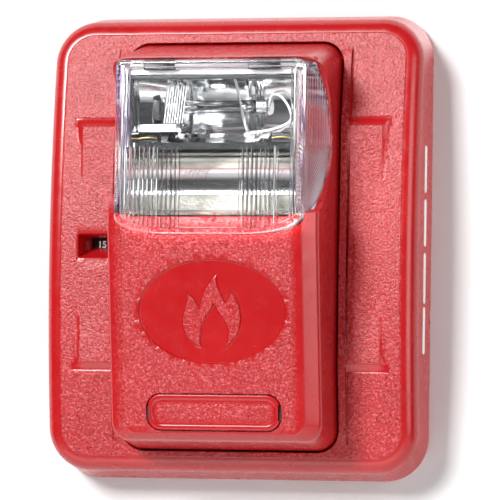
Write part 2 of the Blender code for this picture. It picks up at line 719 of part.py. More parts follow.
def make_terminals():
    block = box("terminal_block", (-21.5, 21.5), (2.9, 12.5), (-33.0, -11.0), BLACK)
    for index, x in enumerate(TERMINAL_X, start=1):
        x /= MM
        cut(
            block,
            box(f"socket_{index}", (x - 1.8, x + 1.8), (6.5, 14), (-29.8, -26.0), cutter=True),
            box(f"wire_way_{index}", (x - 3.6, x + 3.6), (5.6, 9.45), (-21.2, -9), cutter=True),
            rod(f"head_way_{index}", mm(x, 9, -17), mm(x, 14, -17), 3.0, sides=16, cutter=True),
            rod(f"shank_way_{index}", mm(x, 3.8, -17), mm(x, 9, -17), 1.9, sides=12, cutter=True),
        )
        clamp = box(f"wire_clamp_{index}", (x - 3.2, x + 3.2), (8.2, 9.1), (-20.4, -13.6), STEEL)
        cut(clamp, rod(f"clamp_bore_{index}", mm(x, 7, -17), mm(x, 11, -17), 1.9, sides=12, cutter=True))
        tip, neck, top = (mm(x, d, -17) for d in (4.4, 9.4, 11.3))
        make_screw(f"terminal_screw_{index}", tip, neck, top, 1.5, 2.7, STEEL)
        box(f"contact_pin_{index}", (x - 0.5, x + 0.5), (8.0, 16.7), (-28.6, -27.6), BRASS)


def make_screw(name, tip, neck, top, shank, head, look, slot_axis=None):
    """Screw with a round head and a slot; tip, neck and top are world points on its axis."""
    screw = rod(name, tip, neck + (top - neck) * 0.2, shank, look, sides=12)
    join(screw, rod(name + "_head", neck, top, head, sides=18, cutter=True))
    along = (top - neck).normalized()
    across = slot_axis or Vector((1, 0, 0))
    third = along.cross(across)
    bm = bmesh.new()
    frame = Matrix((across, third, along)).transposed().to_4x4()
    size = Matrix.Diagonal((8 * MM, 0.8 * MM, 1.4 * MM, 1.0))
    bmesh.ops.create_cube(bm, size=1.0, matrix=Matrix.Translation(top) @ frame @ size)
    cut(screw, from_bmesh(name + "_slot", bm, None, cutter=True))
    return screw


def make_head_screws():
    for index, (sx, sz) in enumerate(CORNERS, start=1):
        x, z = sx * HOUSING_POST[0] / MM, sz * HOUSING_POST[1] / MM
        make_screw(f"housing_screw_{index}", mm(x, 14.5, z), mm(x, 8.1, z), mm(x, 6.4, z), 1.2, 2.6, STEEL)
        x, z = sx * COVER_POST[0] / MM, sz * COVER_POST[1] / MM
        make_screw(f"cover_screw_{index}", mm(x, 16.5, z), mm(x, 8.1, z), mm(x, 6.4, z), 1.2, 2.6, STEEL)
    for index, sign in enumerate((-1, 1), start=1):
        x, z = sign * PCB_POST[0] / MM, -sign * PCB_POST[1] / MM
        make_screw(f"pcb_screw_{index}", mm(x, 12.2, z), mm(x, 18.9, z), mm(x, 20.5, z), 1.0, 2.4, STEEL)
    d, z = LOCK_D / MM, LOCK_Z / MM
    make_screw(
        "lock_screw",
        mm(-44.8, d, z),
        mm(-53.9, d, z),
        mm(-56.6, d, z),
        1.45,
        2.8,
        STEEL,
        Vector((0, 0, 1)),
    )


def make_pcb():
    outline = rounded_rect(30.0 * MM, (-52.0 * MM, 51.6 * MM), 2 * MM, arc=3)
    board = prism("pcb", outline, PCB_D, BOARD)
    for index, (sx, sz) in enumerate(CORNERS):
        x, z = sx * PCB_POST[0] / MM, sz * PCB_POST[1] / MM
        cut(board, rod(f"pcb_way_{index}", mm(x, 14, z), mm(x, 22, z), 1.4, sides=12, cutter=True))
    header = box("contact_header", (-18, 18), (15.8, 16.7), (-31.0, -25.2), BLACK)
    for index, x in enumerate(TERMINAL_X):
        x /= MM
        cut(header, box(f"header_way_{index}", (x - 0.8, x + 0.8), (14, 18), (-28.9, -27.3), cutter=True))


def make_components():
    capacitor = rod("flash_capacitor", mm(-16, 25.3, -49.6), mm(16, 25.3, -49.6), 6.1, SLEEVE, sides=28)
    groove = capacitor.modifiers.new("Bevel", "BEVEL")
    groove.width = 0.7 * MM
    groove.segments = 2
    groove.limit_method = "ANGLE"
    groove.angle_limit = math.radians(60)
    rod("filter_capacitor", mm(17.5, 18.9, 8.5), mm(17.5, 29.5, 8.5), 4.0, SLEEVE, sides=24)
    turned(
        "inductor",
        BOBBIN_PROFILE,
        mm(6.0, 0, 27.5),
        COPPER,
        sides=24,
    )
    transformer = box("trigger_transformer", (-12.5, -4.5), (18.9, 25.8), (23.5, 32.0), WHITE)
    soften(transformer, 0.5)
    chip = box("controller_chip", (-14.0, -4.0), (18.9, 20.5), (5.0, 15.0), BLACK)
    soften(chip, 0.2)
    rectifier = box("bridge_rectifier", (-28.5, -22.5), (18.9, 21.6), (-40.0, -31.0), BLACK)
    soften(rectifier, 0.3)
    body = box("candela_switch", (-29.6, -26.0), (10.6, 16.7), (-18.0, 9.0), BLACK)
    cut(body, box("lever_way", (-31, -28.6), (10.0, 14.0), (-15.6, 6.6), cutter=True))
    for side, label in ((-1, "tone"), (1, "volume")):
        x = side * 12.0
        body = box(f"{label}_switch", (x - 4.5, x + 4.5), (12.3, 16.7), (41.8, 46.2), BLACK)
        cut(body, box(f"{label}_way", (x - 3.0, x + 3.0), (10, 14.0), (42.7, 45.3), cutter=True))
        start = x - 2.2
        box(f"{label}_actuator", (start, start + 2.2), (8.8, 13.6), (43.1, 44.9), WHITE)


def soften(target, width):
    rounding = target.modifiers.new("Bevel", "BEVEL")
    rounding.width = width * MM
    rounding.segments = 1


def make_sounder():
    centre = at(0, 0, SOUNDER_Z)
    turned(
        "sounder_case",
        SOUNDER_CASE_PROFILE,
        centre,
        BLACK,
        sides=40,
    )
    turned("piezo_disc", washer(0.0, 19.4, 23.9, 24.5), centre, BRASS, sides=40)
    turned("piezo_ceramic", washer(0.0, 12.5, 24.8, 25.2), centre, CERAMIC, sides=32)
    turned("sounder_ring", washer(16.6, 19.4, 24.8, 29.6), centre, WHITE, sides=40)
    turned("sounder_gasket", washer(18.4, 21.6, 30.3, 32.4), centre, FOAM, sides=40)


def washer(inner, outer, low, high):
    """Profile of a flat ring, or of a disc where inner is 0, as (radius, d) points in mm."""
    return [(outer, high), (outer, low), (inner, low), (inner, high)]


def make_selector():
    slider = box("selector_slider", (-44.6, -36.6), (10.5, 12.3), (-18.0, 3.6), BLACK)
    join(
        slider,
        box("selector_knob", (-42.6, -38.6), (5.0, 11.4), (-9.0, -5.0), cutter=True),
        box("selector_arm", (-37.4, -28.9), (10.9, 12.1), (-14.8, -11.8), cutter=True),
    )
    cut(
        slider,
        box("knob_grip", (-43, -38), (4, 5.6), (-7.6, -6.4), cutter=True),
    )


make_housing()
make_center_cover()
make_nameplate()
make_lens()
make_reflector()
make_flash_tube()
make_chassis()
make_mounting_plate()
make_terminals()
make_head_screws()
make_pcb()
make_components()
make_sounder()
make_selector()

BASE_NODES = ("mounting_plate", "terminal_block", "terminal_screw", "wire_clamp")
SLIDES = ("selector_slider", "tone_actuator", "volume_actuator")


def middle(piece):
    """Centre of a piece's box in world space."""
    corners = [piece.matrix_world @ Vector(corner) for corner in piece.bound_box]
    return sum(corners, Vector()) / len(corners)


def parent_to(empty_name, place, riders):
    """Empty on a joint's axis, with the pieces that move about it."""
    empty = bpy.data.objects.new(empty_name, None)
    empty.location = place
    PARTS.objects.link(empty)
    bpy.context.view_layer.update()
    for rider in riders:
        rider.parent = empty
        rider.matrix_parent_inverse = empty.matrix_world.inverted()
    return empty


bpy.context.view_layer.update()
head_pieces = [piece for piece in PARTS.objects if not piece.name.startswith(BASE_NODES)]
movers = {name: bpy.data.objects[name] for name in ("lock_screw", *SLIDES)}
head_fixed = [piece for piece in head_pieces if piece.name not in movers]
hinges = [
    parent_to(f"{name}_axis", middle(piece), [piece]) for name, piece in movers.items()
]
parent_to("head_hinge", at(0, HINGE_D, HINGE_Z), [*head_fixed, *hinges])
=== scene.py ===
"""Horn strobe on a pale wall. X is across, Z is up and -Y points out of the wall.

Lengths here are millimetres until they reach a mesh. A place is (x, d, z), with d the height over the wall.
"""

import json
import math

import bmesh
import bpy
import numpy as np
from mathutils import Matrix, Vector, geometry


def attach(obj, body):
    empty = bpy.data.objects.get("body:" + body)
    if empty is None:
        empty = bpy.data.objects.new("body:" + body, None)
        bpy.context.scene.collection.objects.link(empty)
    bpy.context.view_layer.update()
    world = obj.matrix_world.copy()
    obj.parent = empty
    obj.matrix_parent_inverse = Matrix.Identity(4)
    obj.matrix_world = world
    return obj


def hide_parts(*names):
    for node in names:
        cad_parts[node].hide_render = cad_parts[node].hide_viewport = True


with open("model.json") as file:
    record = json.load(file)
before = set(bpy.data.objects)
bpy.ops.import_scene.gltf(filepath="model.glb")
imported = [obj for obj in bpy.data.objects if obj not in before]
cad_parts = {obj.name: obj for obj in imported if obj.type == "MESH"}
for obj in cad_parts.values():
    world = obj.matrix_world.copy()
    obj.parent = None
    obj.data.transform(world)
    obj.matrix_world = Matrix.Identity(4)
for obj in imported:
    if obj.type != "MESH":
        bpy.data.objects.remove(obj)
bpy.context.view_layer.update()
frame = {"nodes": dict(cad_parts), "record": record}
MM = 0.001

# ---------------------------------------------------------------- dimensions

HALF_W, HALF_H, CORNER = 57.15, 69.85, 13.0
RIM_D, DRAFT, FILLET, WALL = 0.4, 0.3, 4.4, 2.4
DOME_D, DOME_DROP, DOME_Z, DOME_REACH = 21.5, 4.8, -1.5, 60.0
OPENING = (33.3, (-61.6, 60.6), 6.8)
PANEL_W, PANEL_H, PANEL_RUN, PANEL_D = 48.5, 37.8, 2.2, 21.0
PANEL_FOOT_D, PANEL_RISE = 19.3, 1.7
COLLAR_W, COLLAR_RISE, COLLAR_FALL, END_DRAFT = 36.0, 1.6, 0.155, 1.6
MOUTH_X, MOUTH_Z = (-46.6, -35.65), (-4.2, 2.85)
FLOOR_X, FLOOR_Z, FLOOR_D = (-44.7, -36.1), (-0.8, 2.2), 12.8
LOCK = (5.4, -36)
FRONT_D, FRONT_SLOPE, FRONT_FOOT = 44.8, 9.3 / 61.5, 3.0
COVER_BACK_D, COVER_WALL = 13.0, 2.2
HOLE, HOLE_NARROWING = (25.6, (6.6, 51.6), 1.6), 0.97
OVAL = (22.4, 15.35, -21.0)
BADGE = (20.4, 5.45, -50.5)
WING = (52.3, 30.5, 24.0)
SIDES = ((-1, "left"), (1, "right"))


def at(x, d, z):
    return Vector((x, -d, z)) * MM


def face_d(z):
    return DOME_D - DOME_DROP * ((z - DOME_Z) / DOME_REACH) ** 2


def front_d(z):
    return FRONT_D - FRONT_SLOPE * max(0.0, FRONT_FOOT - z)


def under(surface, by=0.0):
    """Depth function of a surface that lies that far below one of the two above."""
    return lambda x, z: surface(z) - by


def smax(a, b, k):
    return 0.5 * (a + b + math.sqrt((a - b) ** 2 + k * k))


def smin(a, b, k):
    return -smax(-a, -b, k)


def ease(low, high, value):
    share = min(max((value - low) / (high - low), 0.0), 1.0)
    return share * share * (3.0 - 2.0 * share)


# ---------------------------------------------------------------- mesh tools


class Shell:
    """Points in millimetres (x, d, z), faces, and one grain value a point."""

    def __init__(self):
        self.points = []
        self.grain = []
        self.faces = []

    def ring(self, places):
        first = len(self.points)
        self.points += [tuple(p) for p in places]
        self.grain += [0.0] * len(places)
        return list(range(first, len(self.points)))

    def skin(self, a, b):
        n = len(a)
        for i in range(n):
            j = (i + 1) % n
            self.faces.append((a[i], a[j], b[j], b[i]))

    def tube(self, rings):
        made = [self.ring(r) if not isinstance(r[0], int) else r for r in rings]
        for a, b in zip(made, made[1:]):
            self.skin(a, b)
        return made

    def closed_tube(self, rings):
        made = self.tube(rings)
        self.faces += [tuple(made[0]), tuple(made[-1])]

    def fill(self, outer, holes, lines, depth, spacing, grain=None):
        """Triangles between vertex loops, with the lines of (x, z) points kept as edges."""
        coords, known, edges = [], [], []
        for loop in (outer, *holes):
            start, n = len(coords), len(loop)
            coords += [(self.points[index][0], self.points[index][2]) for index in loop]
            known += loop
            edges += [(start + i, start + (i + 1) % n) for i in range(n)]
        for line, shut in lines:
            start, n = len(coords), len(line)
            coords += line
            edges += [(start + i, start + i + 1) for i in range(n - 1)]
            if shut:
                edges.append((start + n - 1, start))
        fixed = np.array(coords)
        rim, *gaps = (np.array([self.points[i] for i in loop])[:, [0, 2]] for loop in (outer, *holes))
        low, high = rim.min(0), rim.max(0)
        steps = np.maximum(((high - low) / spacing).astype(int), 1)
        gx = np.linspace(low[0], high[0], steps[0] + 1)[1:-1]
        gz = np.linspace(low[1], high[1], steps[1] + 1)[1:-1]
        grid = np.stack(np.meshgrid(gx, gz, indexing="ij"), -1).reshape(-1, 2)
        grid = grid[between(grid, rim, gaps)]
        if len(grid):
            near = np.array([((fixed - g) ** 2).sum(1).min() for g in grid])
            grid = grid[near > (0.45 * spacing) ** 2]
        coords += [tuple(g) for g in grid]
        found = geometry.delaunay_2d_cdt([Vector(c) for c in coords], edges, [], 0, 1e-6)
        where, triangles, origins = found[0], found[2], found[3]
        index_of = [next((known[o] for o in origin if o < len(known)), None) for origin in origins]
        flat = np.array([(p.x, p.y) for p in where])
        corners = np.array(triangles)
        for t in corners[between(flat[corners].mean(1), rim, gaps)]:
            for v in t:
                if index_of[v] is None:
                    x, z = flat[v]
                    index_of[v] = len(self.points)
                    self.points.append((x, depth(x, z), z))
                    self.grain.append(grain(x, z) if grain else 0.0)
            self.faces.append(tuple(index_of[v] for v in t))

    def make(self, name):
        mesh = bpy.data.meshes.new(name)
        mesh.from_pydata([at(*p) for p in self.points], [], self.faces)
        layer = mesh.attributes.new("grain", "FLOAT", "POINT")
        layer.data.foreach_set("value", self.grain)
        bm = bmesh.new()
        bm.from_mesh(mesh)
        bmesh.ops.recalc_face_normals(bm, faces=bm.faces)
        bm.to_mesh(mesh)
        bm.free()
        return link(name, mesh)


def inside(points, polygon):
    """Even-odd test of many points against one polygon."""
    x, z = points[:, 0][:, None], points[:, 1][:, None]
    ax, az = polygon[:, 0], polygon[:, 1]
    bx, bz = np.roll(ax, -1), np.roll(az, -1)
    spans = (az > z) != (bz > z)
    with np.errstate(divide="ignore", invalid="ignore"):
        cross = ax + (z - az) * (bx - ax) / (bz - az)
    return (np.where(spans & (x < cross), 1, 0).sum(1) % 2) == 1


def between(points, rim, gaps):
    """Which of the points lie inside the rim and outside every gap."""
    keep = inside(points, rim)
    for gap in gaps:
        keep &= ~inside(points, gap)
    return keep


def link(name, data):
    made = bpy.data.objects.new(name, data)
    bpy.context.scene.collection.objects.link(made)
    return made


def link_bmesh(name, bm):
    mesh = bpy.data.meshes.new(name)
    bm.to_mesh(mesh)
    bm.free()
    return link(name, mesh)


def arc(centre, radii, first, last, steps):
    """Points of (x, z) round a centre, from one angle in degrees to another."""
    angles = [math.radians(first + (last - first) * i / steps) for i in range(steps + 1)]
    return [(centre[0] + radii[0] * math.cos(a), centre[1] + radii[1] * math.sin(a)) for a in angles]


def outline(half_w, zs, radius, steps, tall, wide):
    """Closed (x, z) outline from its lower right corner, with more points at the tall and wide places."""
    low, high = zs
    w, bottom, top = half_w - radius, low + radius, high - radius
    corners = ((w, bottom, -90), (w, top, 0), (-w, top, 90), (-w, bottom, 180))
    sides = (
        [(half_w, z) for z in sorted(tall)],
        [(x, high) for x in sorted(wide, reverse=True)],
        [(-half_w, z) for z in sorted(tall, reverse=True)],
        [(x, low) for x in sorted(wide)],
    )
    points = []
    for (x, z, first), side in zip(corners, sides):
        points += [*arc((x, z), (radius, radius), first, first + 90, steps), *side]
    return points


def grown(box, by, steps, tall, wide):
    """Outline of a (half width, (low, high), radius) box that is larger by so much all round."""
    half_w, (low, high), radius = box
    return outline(half_w + by, (low - by, high + by), radius + by, steps, tall, wide)


def resized(points, centre, scale, to):
    """Points of (x, z) scaled about a centre, which lands on another place."""
    return [((x - centre[0]) * scale[0] + to[0], (z - centre[1]) * scale[1] + to[1]) for x, z in points]


def spread(low, high, step, pinned=()):
    """Places between low and high, step apart or closer, with the pinned ones among them."""
    stops = [low, *sorted(p for p in pinned if low < p < high), high]
    places = []
    for a, b in zip(stops, stops[1:]):
        n = max(1, math.ceil((b - a) / step))
        places += [a + (b - a) * i / n for i in range(n)]
    return places[1:]


def rounded(rings, radii, steps):
    """The control rings, with a curve for each inner one that starts and ends its radius away from it."""
    rings = [np.array(r, float) for r in rings]
    found = [rings[0]]
    for before, here, after, radius in zip(rings, rings[1:], rings[2:], radii):
        ends = []
        for side in (before - here, after - here):
            length = np.linalg.norm(side, axis=1, keepdims=True)
            ends.append(here + side * np.minimum(radius / np.maximum(length, 1e-6), 0.49))
        for t in (s / steps for s in range(steps + 1)):
            found.append(ends[0] * (1 - t) ** 2 + here * 2 * t * (1 - t) + ends[1] * t * t)
    found.append(rings[-1])
    return [[tuple(p) for p in r] for r in found]


def in_mm(points, depth):
    return [(x, depth(x, z) if callable(depth) else depth, z) for x, z in points]


def finish(piece, angle=32):
    piece.data.shade_smooth()
    piece.data.set_sharp_from_angle(angle=math.radians(angle))
    return piece


def rod(name, start, end, radius, sides=32, end_radius=None):
    start, end = at(*start), at(*end)
    along = end - start
    turn = along.to_track_quat("Z", "Y").to_matrix().to_4x4()
    bm = bmesh.new()
    bmesh.ops.create_cone(
        bm,
        cap_ends=True,
        segments=sides,
        radius1=radius * MM,
        radius2=(radius if end_radius is None else end_radius) * MM,
        depth=along.length,
        matrix=Matrix.Translation((start + end) / 2) @ turn,
    )
    return link_bmesh(name, bm)


def bar(name, xs, place, radius, sides=32, end_radius=None):
    """A rod along X through a place of (d, z)."""
    return rod(name, (xs[0], *place), (xs[1], *place), radius, sides, end_radius)


def block(name, xs, ds, zs, bevel=0.0):
    low, high = at(min(xs), max(ds), min(zs)), at(max(xs), min(ds), max(zs))
    bm = bmesh.new()
    shape = Matrix.Translation((low + high) / 2) @ Matrix.Diagonal((*(high - low), 1.0))
    bmesh.ops.create_cube(bm, size=1.0, matrix=shape)
    if bevel:
        rounding = {"offset": bevel * MM, "segments": 3, "profile": 0.5, "clamp_overlap": True}
        bmesh.ops.bevel(bm, geom=list(bm.edges), affect="EDGES", **rounding)
    return link_bmesh(name, bm)


def boolean(target, operation, *others):
    """Applies the Booleans at once, and removes the other meshes."""
    for other in others:
        step = target.modifiers.new("boolean", "BOOLEAN")
        step.operation = operation
        step.object = other
        step.solver = "EXACT"
    bpy.context.view_layer.update()
    graph = bpy.context.evaluated_depsgraph_get()
    mesh = bpy.data.meshes.new_from_object(target.evaluated_get(graph))
    target.modifiers.clear()
    target.data = mesh
    for other in others:
        bpy.data.objects.remove(other)


def merge(name, pieces):
    """One mesh object from several."""
    bm = bmesh.new()
    for piece in pieces:
        bm.from_mesh(piece.data)
        bpy.data.objects.remove(piece)
    return link_bmesh(name, bm)


def tube_along(name, places, radius):
    """Round wire through millimetre places, on a Catmull-Rom curve, with closed ends."""
    sides, steps = 12, 6
    stops = [Vector(p) for p in places]
    stops = [stops[0] * 2 - stops[1], *stops, stops[-1] * 2 - stops[-2]]
    path = []
    for i in range(1, len(stops) - 2):
        p0, p1, p2, p3 = stops[i - 1 : i + 3]
        square, cube = 2 * p0 - 5 * p1 + 4 * p2 - p3, 3 * p1 - p0 - 3 * p2 + p3
        for t in (s / steps for s in range(steps)):
            path.append(0.5 * (2 * p1 + (p2 - p0) * t + square * t * t + cube * t**3))
    path.append(stops[-2])
    rings = []
    across = (path[1] - path[0]).normalized().orthogonal().normalized()
    for i, here in enumerate(path):
        ahead = (path[min(i + 1, len(path) - 1)] - path[max(i - 1, 0)]).normalized()
        across = (across - ahead * across.dot(ahead)).normalized()
        other = ahead.cross(across)
        turns = [math.tau * k / sides for k in range(sides)]
        rings.append([tuple(here + (across * math.cos(a) + other * math.sin(a)) * radius) for a in turns])
    shell = Shell()
    shell.closed_tube(rings)
    return finish(shell.make(name), 50)


# ---------------------------------------------------------------- materials


class Look:
    """A node material around one Principled shader."""

    def __init__(self, name, **values):
        self.material = bpy.data.materials.new(name)
        self.material.use_nodes = True
        self.tree = self.material.node_tree
        self.shader = self.tree.nodes["Principled BSDF"]
        self.place = self.add("ShaderNodeTexCoord").outputs["Object"]
        self.bump = None
        for key, value in values.items():
            self.feed(self.shader.inputs[key.replace("_", " ")], value)

    def add(self, kind, **settings):
        node = self.tree.nodes.new(kind)
        for key, value in settings.items():
            setattr(node, key, value)
        return node

    def join(self, a, b):
        self.tree.links.new(a, b)

    def feed(self, socket, value):
        """Gives a socket a number or a colour, or joins an output to it."""
        if isinstance(value, tuple):
            socket.default_value = (*value, 1.0)
        elif isinstance(value, (int, float)):
            socket.default_value = value
        else:
            self.join(value, socket)

    def noise(self, scale, detail=3.0, rough=0.5, stretch=None):
        """Noise with features about 1/scale millimetres across."""
        place = self.place
        if stretch:
            mapping = self.add("ShaderNodeMapping")
            mapping.inputs["Scale"].default_value = stretch
            self.join(place, mapping.inputs["Vector"])
            place = mapping.outputs["Vector"]
        node = self.add("ShaderNodeTexNoise")
        keys = ("Detail", "Roughness", "Scale", "Vector")
        for key, given in zip(keys, (detail, rough, scale / MM, place)):
            self.feed(node.inputs[key], given)
        return node.outputs["Fac"]

    def span(self, value, low, high, to_low=0.0, to_high=1.0):
        node = self.add("ShaderNodeMapRange")
        keys = ("Value", "From Min", "From Max", "To Min", "To Max")
        for key, given in zip(keys, (value, low, high, to_low, to_high)):
            self.feed(node.inputs[key], given)
        return node.outputs["Result"]

    def math(self, operation, *values):
        node = self.add("ShaderNodeMath", operation=operation)
        for socket, value in zip(node.inputs, values):
            self.feed(socket, value)
        return node.outputs["Value"]

    def times(self, a, b):
        return self.math("MULTIPLY", a, b)

    def mix(self, share, a, b):
        node = self.add("ShaderNodeMix", data_type="RGBA")
        colours = [socket for socket in node.inputs if socket.type == "RGBA"]
        for socket, value in zip((node.inputs[0], *colours), (share, a, b)):
            self.feed(socket, value)
        return next(socket for socket in node.outputs if socket.type == "RGBA")

    def attribute(self, name):
        return self.add("ShaderNodeAttribute", attribute_name=name).outputs["Fac"]

    def raise_by(self, height, distance):
        """Adds a bump of that many millimetres."""
        node = self.add("ShaderNodeBump")
        for key, value in (("Distance", distance * MM), ("Strength", 1.0), ("Height", height)):
            self.feed(node.inputs[key], value)
        if self.bump:
            self.join(self.bump, node.inputs["Normal"])
        self.bump = node.outputs["Normal"]
        self.join(self.bump, self.shader.inputs["Normal"])

    def edge(self):
        """1 on worn convex edges, 0 elsewhere."""
        node = self.add("ShaderNodeNewGeometry")
        return self.span(node.outputs["Pointiness"], 0.53, 0.62)

    def colour(self, value):
        self.join(value, self.shader.inputs["Base Color"])

    def roughness(self, value):
        self.join(value, self.shader.inputs["Roughness"])

    def see_through(self, share, tint=(1.0, 1.0, 1.0)):
        """Lets light straight through where the share is 1."""
        through = self.add("ShaderNodeBsdfTransparent")
        through.inputs["Color"].default_value = (*tint, 1.0)
        mixer = self.add("ShaderNodeMixShader")
        out = next(n for n in self.tree.nodes if n.type == "OUTPUT_MATERIAL")
        shaders = (self.shader.outputs["BSDF"], through.outputs["BSDF"])
        for socket, value in zip(mixer.inputs, (share, *shaders)):
            self.join(value, socket)
        self.join(mixer.outputs["Shader"], out.inputs["Surface"])


def moulded(name, dark, light, rough, grain=0.02, scale=1.4, **values):
    """Plain moulded plastic: faint mottling, a fine skin texture and lighter worn edges."""
    look = Look(name, **values)
    slow = look.noise(0.05, 2.0)
    fine = look.noise(scale, 3.0, 0.6)
    base = look.mix(look.span(slow, 0.3, 0.7), dark, light)
    worn = tuple(min(1.0, c * 1.25 + 0.02) for c in light)
    look.colour(look.mix(look.times(look.edge(), 0.5), base, worn))
    look.roughness(look.span(look.noise(0.3, 4.0), 0.3, 0.7, *rough))
    look.raise_by(fine, grain)
    return look.material


def red_plastic():
    """Red moulding: smooth and glossy where grain is 0, pebbled and matt where it is 1, with painted
    highlights on the pebble tops and painted shade in their hollows.
    """
    look = Look("red_moulded_plastic", IOR=1.52, Specular_IOR_Level=0.75)
    grain = look.attribute("grain")
    pebbles = look.noise(1.35, 2.0, 0.65)
    fine = look.noise(4.5, 2.0, 0.5)
    slow = look.noise(0.03, 3.0)
    base = look.mix(look.span(slow, 0.35, 0.65), (0.45, 0.005, 0.008), (0.51, 0.008, 0.011))
    # Pinkish specks on the pebble tops are painted highlights, the sparkle of light on the grain.
    painted_sparkle_mask = look.times(look.span(pebbles, 0.54, 0.64), grain)
    base = look.mix(look.times(painted_sparkle_mask, 0.65), base, (0.74, 0.13, 0.15))
    # Dark flecks in the pebble hollows are painted shade.
    painted_hollow_shade = look.times(look.span(pebbles, 0.46, 0.32), grain)
    base = look.mix(look.times(painted_hollow_shade, 0.7), base, (0.20, 0.002, 0.004))
    base = look.mix(look.times(look.edge(), 0.35), base, (0.62, 0.03, 0.035))
    look.colour(base)
    smooth = look.span(look.noise(0.2, 4.0), 0.3, 0.7, 0.2, 0.3)
    coarse = look.span(pebbles, 0.3, 0.7, 0.26, 0.36)
    blend = look.add("ShaderNodeMix", data_type="FLOAT")
    look.join(grain, blend.inputs[0])
    look.join(smooth, blend.inputs[2])
    look.join(coarse, blend.inputs[3])
    look.roughness(blend.outputs[0])
    height = look.math("ADD", pebbles, look.times(fine, 0.3))
    look.raise_by(look.times(height, look.math("ADD", grain, 0.02)), 0.28)
    return look.material


def clear(name, tint, ior, bump, flutes=False):
    """Clear moulding that lets lamps light what is behind it, with or without flutes on its wings."""
    look = Look(name, Base_Color=tint, IOR=ior, Transmission_Weight=1.0)
    look.roughness(look.span(look.noise(0.15, 3.0), 0.3, 0.7, 0.0, 0.03))
    look.raise_by(look.noise(0.08, 2.0), bump)
    if flutes:
        split = look.add("ShaderNodeSeparateXYZ")
        look.join(look.place, split.inputs[0])
        across, out, up = (split.outputs[axis] for axis in "XYZ")
        side = look.span(look.math("ABSOLUTE", across), 27.3 * MM, 27.7 * MM)
        below = look.span(up, 30 * MM, 26 * MM)
        above = look.span(up, 8 * MM, 10 * MM)
        mask = look.times(side, look.times(below, above))
        slant = look.math("ADD", up, look.times(out, 0.8))
        wave = look.math("SINE", look.times(slant, math.tau / (1.25 * MM)))
        look.raise_by(look.times(wave, mask), 0.3)
        upper = look.times(side, look.span(up, 26 * MM, 28 * MM))
        upright = look.math("SINE", look.times(out, math.tau / (1.7 * MM)))
        look.raise_by(look.times(upright, upper), 0.22)
    shadow = look.add("ShaderNodeLightPath").outputs["Is Shadow Ray"]
    look.see_through(shadow, (0.93, 0.94, 0.95))
    return look.material


def metal(name, dark, light, rough, bump=0.01):
    look = Look(name, Metallic=1.0)
    streak = look.noise(1.2, 4.0, 0.6)
    slow = look.noise(0.08, 3.0)
    base = look.mix(look.span(slow, 0.3, 0.7), dark, light)
    worn = tuple(min(1.0, c * 1.15) for c in light)
    look.colour(look.mix(look.times(look.edge(), 0.4), base, worn))
    look.roughness(look.span(streak, 0.3, 0.7, *rough))
    look.raise_by(streak, bump)
    return look.material


def circuit_board():
    look = Look("solder_mask", Specular_IOR_Level=0.5)
    tracks = look.add("ShaderNodeTexBrick")
    greens = {"Color1": (0.012, 0.13, 0.045), "Color2": (0.015, 0.16, 0.055), "Mortar": (0.03, 0.26, 0.09)}
    for key, value in {**greens, "Scale": 0.35 / MM, "Mortar Size": 0.07}.items():
        look.feed(tracks.inputs[key], value)
    mapping = look.add("ShaderNodeMapping")
    mapping.inputs["Rotation"].default_value = (math.radians(90), 0, 0)
    look.join(look.place, mapping.inputs["Vector"])
    look.join(mapping.outputs["Vector"], tracks.inputs["Vector"])
    stain = look.span(look.noise(0.2, 4.0), 0.4, 0.7, 0.0, 0.5)
    look.colour(look.mix(stain, tracks.outputs["Color"], (0.02, 0.1, 0.04)))
    look.roughness(look.span(look.noise(0.5, 3.0), 0.3, 0.7, 0.3, 0.45))
    look.raise_by(tracks.outputs["Fac"], 0.04)
    return look.material


def painted_reflection_mirror(name, along, metallic, scale):
    """Bright metal whose colour holds painted reflections: dark and violet streaks along the axis that is
    scaled down, and pale painted glints.
    """
    look = Look(name, Metallic=metallic)
    streak = look.noise(scale, 3.0, 0.6, stretch=along)
    fine = look.noise(2.2, 2.0, 0.5, stretch=along)
    # The dark and violet streaks and the pale flecks are painted reflections and painted glints, not the
    # metal's own colour.
    base = look.mix(look.span(streak, 0.45, 0.55), (0.12, 0.08, 0.19), (0.93, 0.92, 0.95))
    look.colour(look.mix(look.span(fine, 0.5, 0.62, 0.0, 0.8), base, (0.97, 0.95, 0.97)))
    look.roughness(look.span(fine, 0.3, 0.7, 0.16, 0.34))
    look.raise_by(streak, 0.35)
    return look.material


def winding():
    look = Look("enamelled_copper", Metallic=0.9)
    wave = look.add("ShaderNodeTexWave", wave_type="BANDS", bands_direction="Y")
    wave.inputs["Scale"].default_value = 0.45 / MM
    wave.inputs["Distortion"].default_value = 0.6
    look.join(look.place, wave.inputs["Vector"])
    look.colour(look.mix(wave.outputs["Fac"], (0.36, 0.12, 0.04), (0.75, 0.33, 0.14)))
    look.roughness(look.span(look.noise(0.6, 3.0), 0.3, 0.7, 0.25, 0.4))
    look.raise_by(wave.outputs["Fac"], 0.15)
    return look.material


def foam():
    look = Look("foam", Roughness=0.95)
    foamed = look.add("ShaderNodeTexVoronoi", feature="F1")
    look.feed(foamed.inputs["Scale"], 1.3 / MM)
    look.join(look.place, foamed.inputs["Vector"])
    cells = foamed.outputs["Distance"]
    look.colour(look.mix(look.span(cells, 0.1, 0.7), (0.015, 0.015, 0.016), (0.06, 0.06, 0.062)))
    look.raise_by(cells, 0.25)
    return look.material


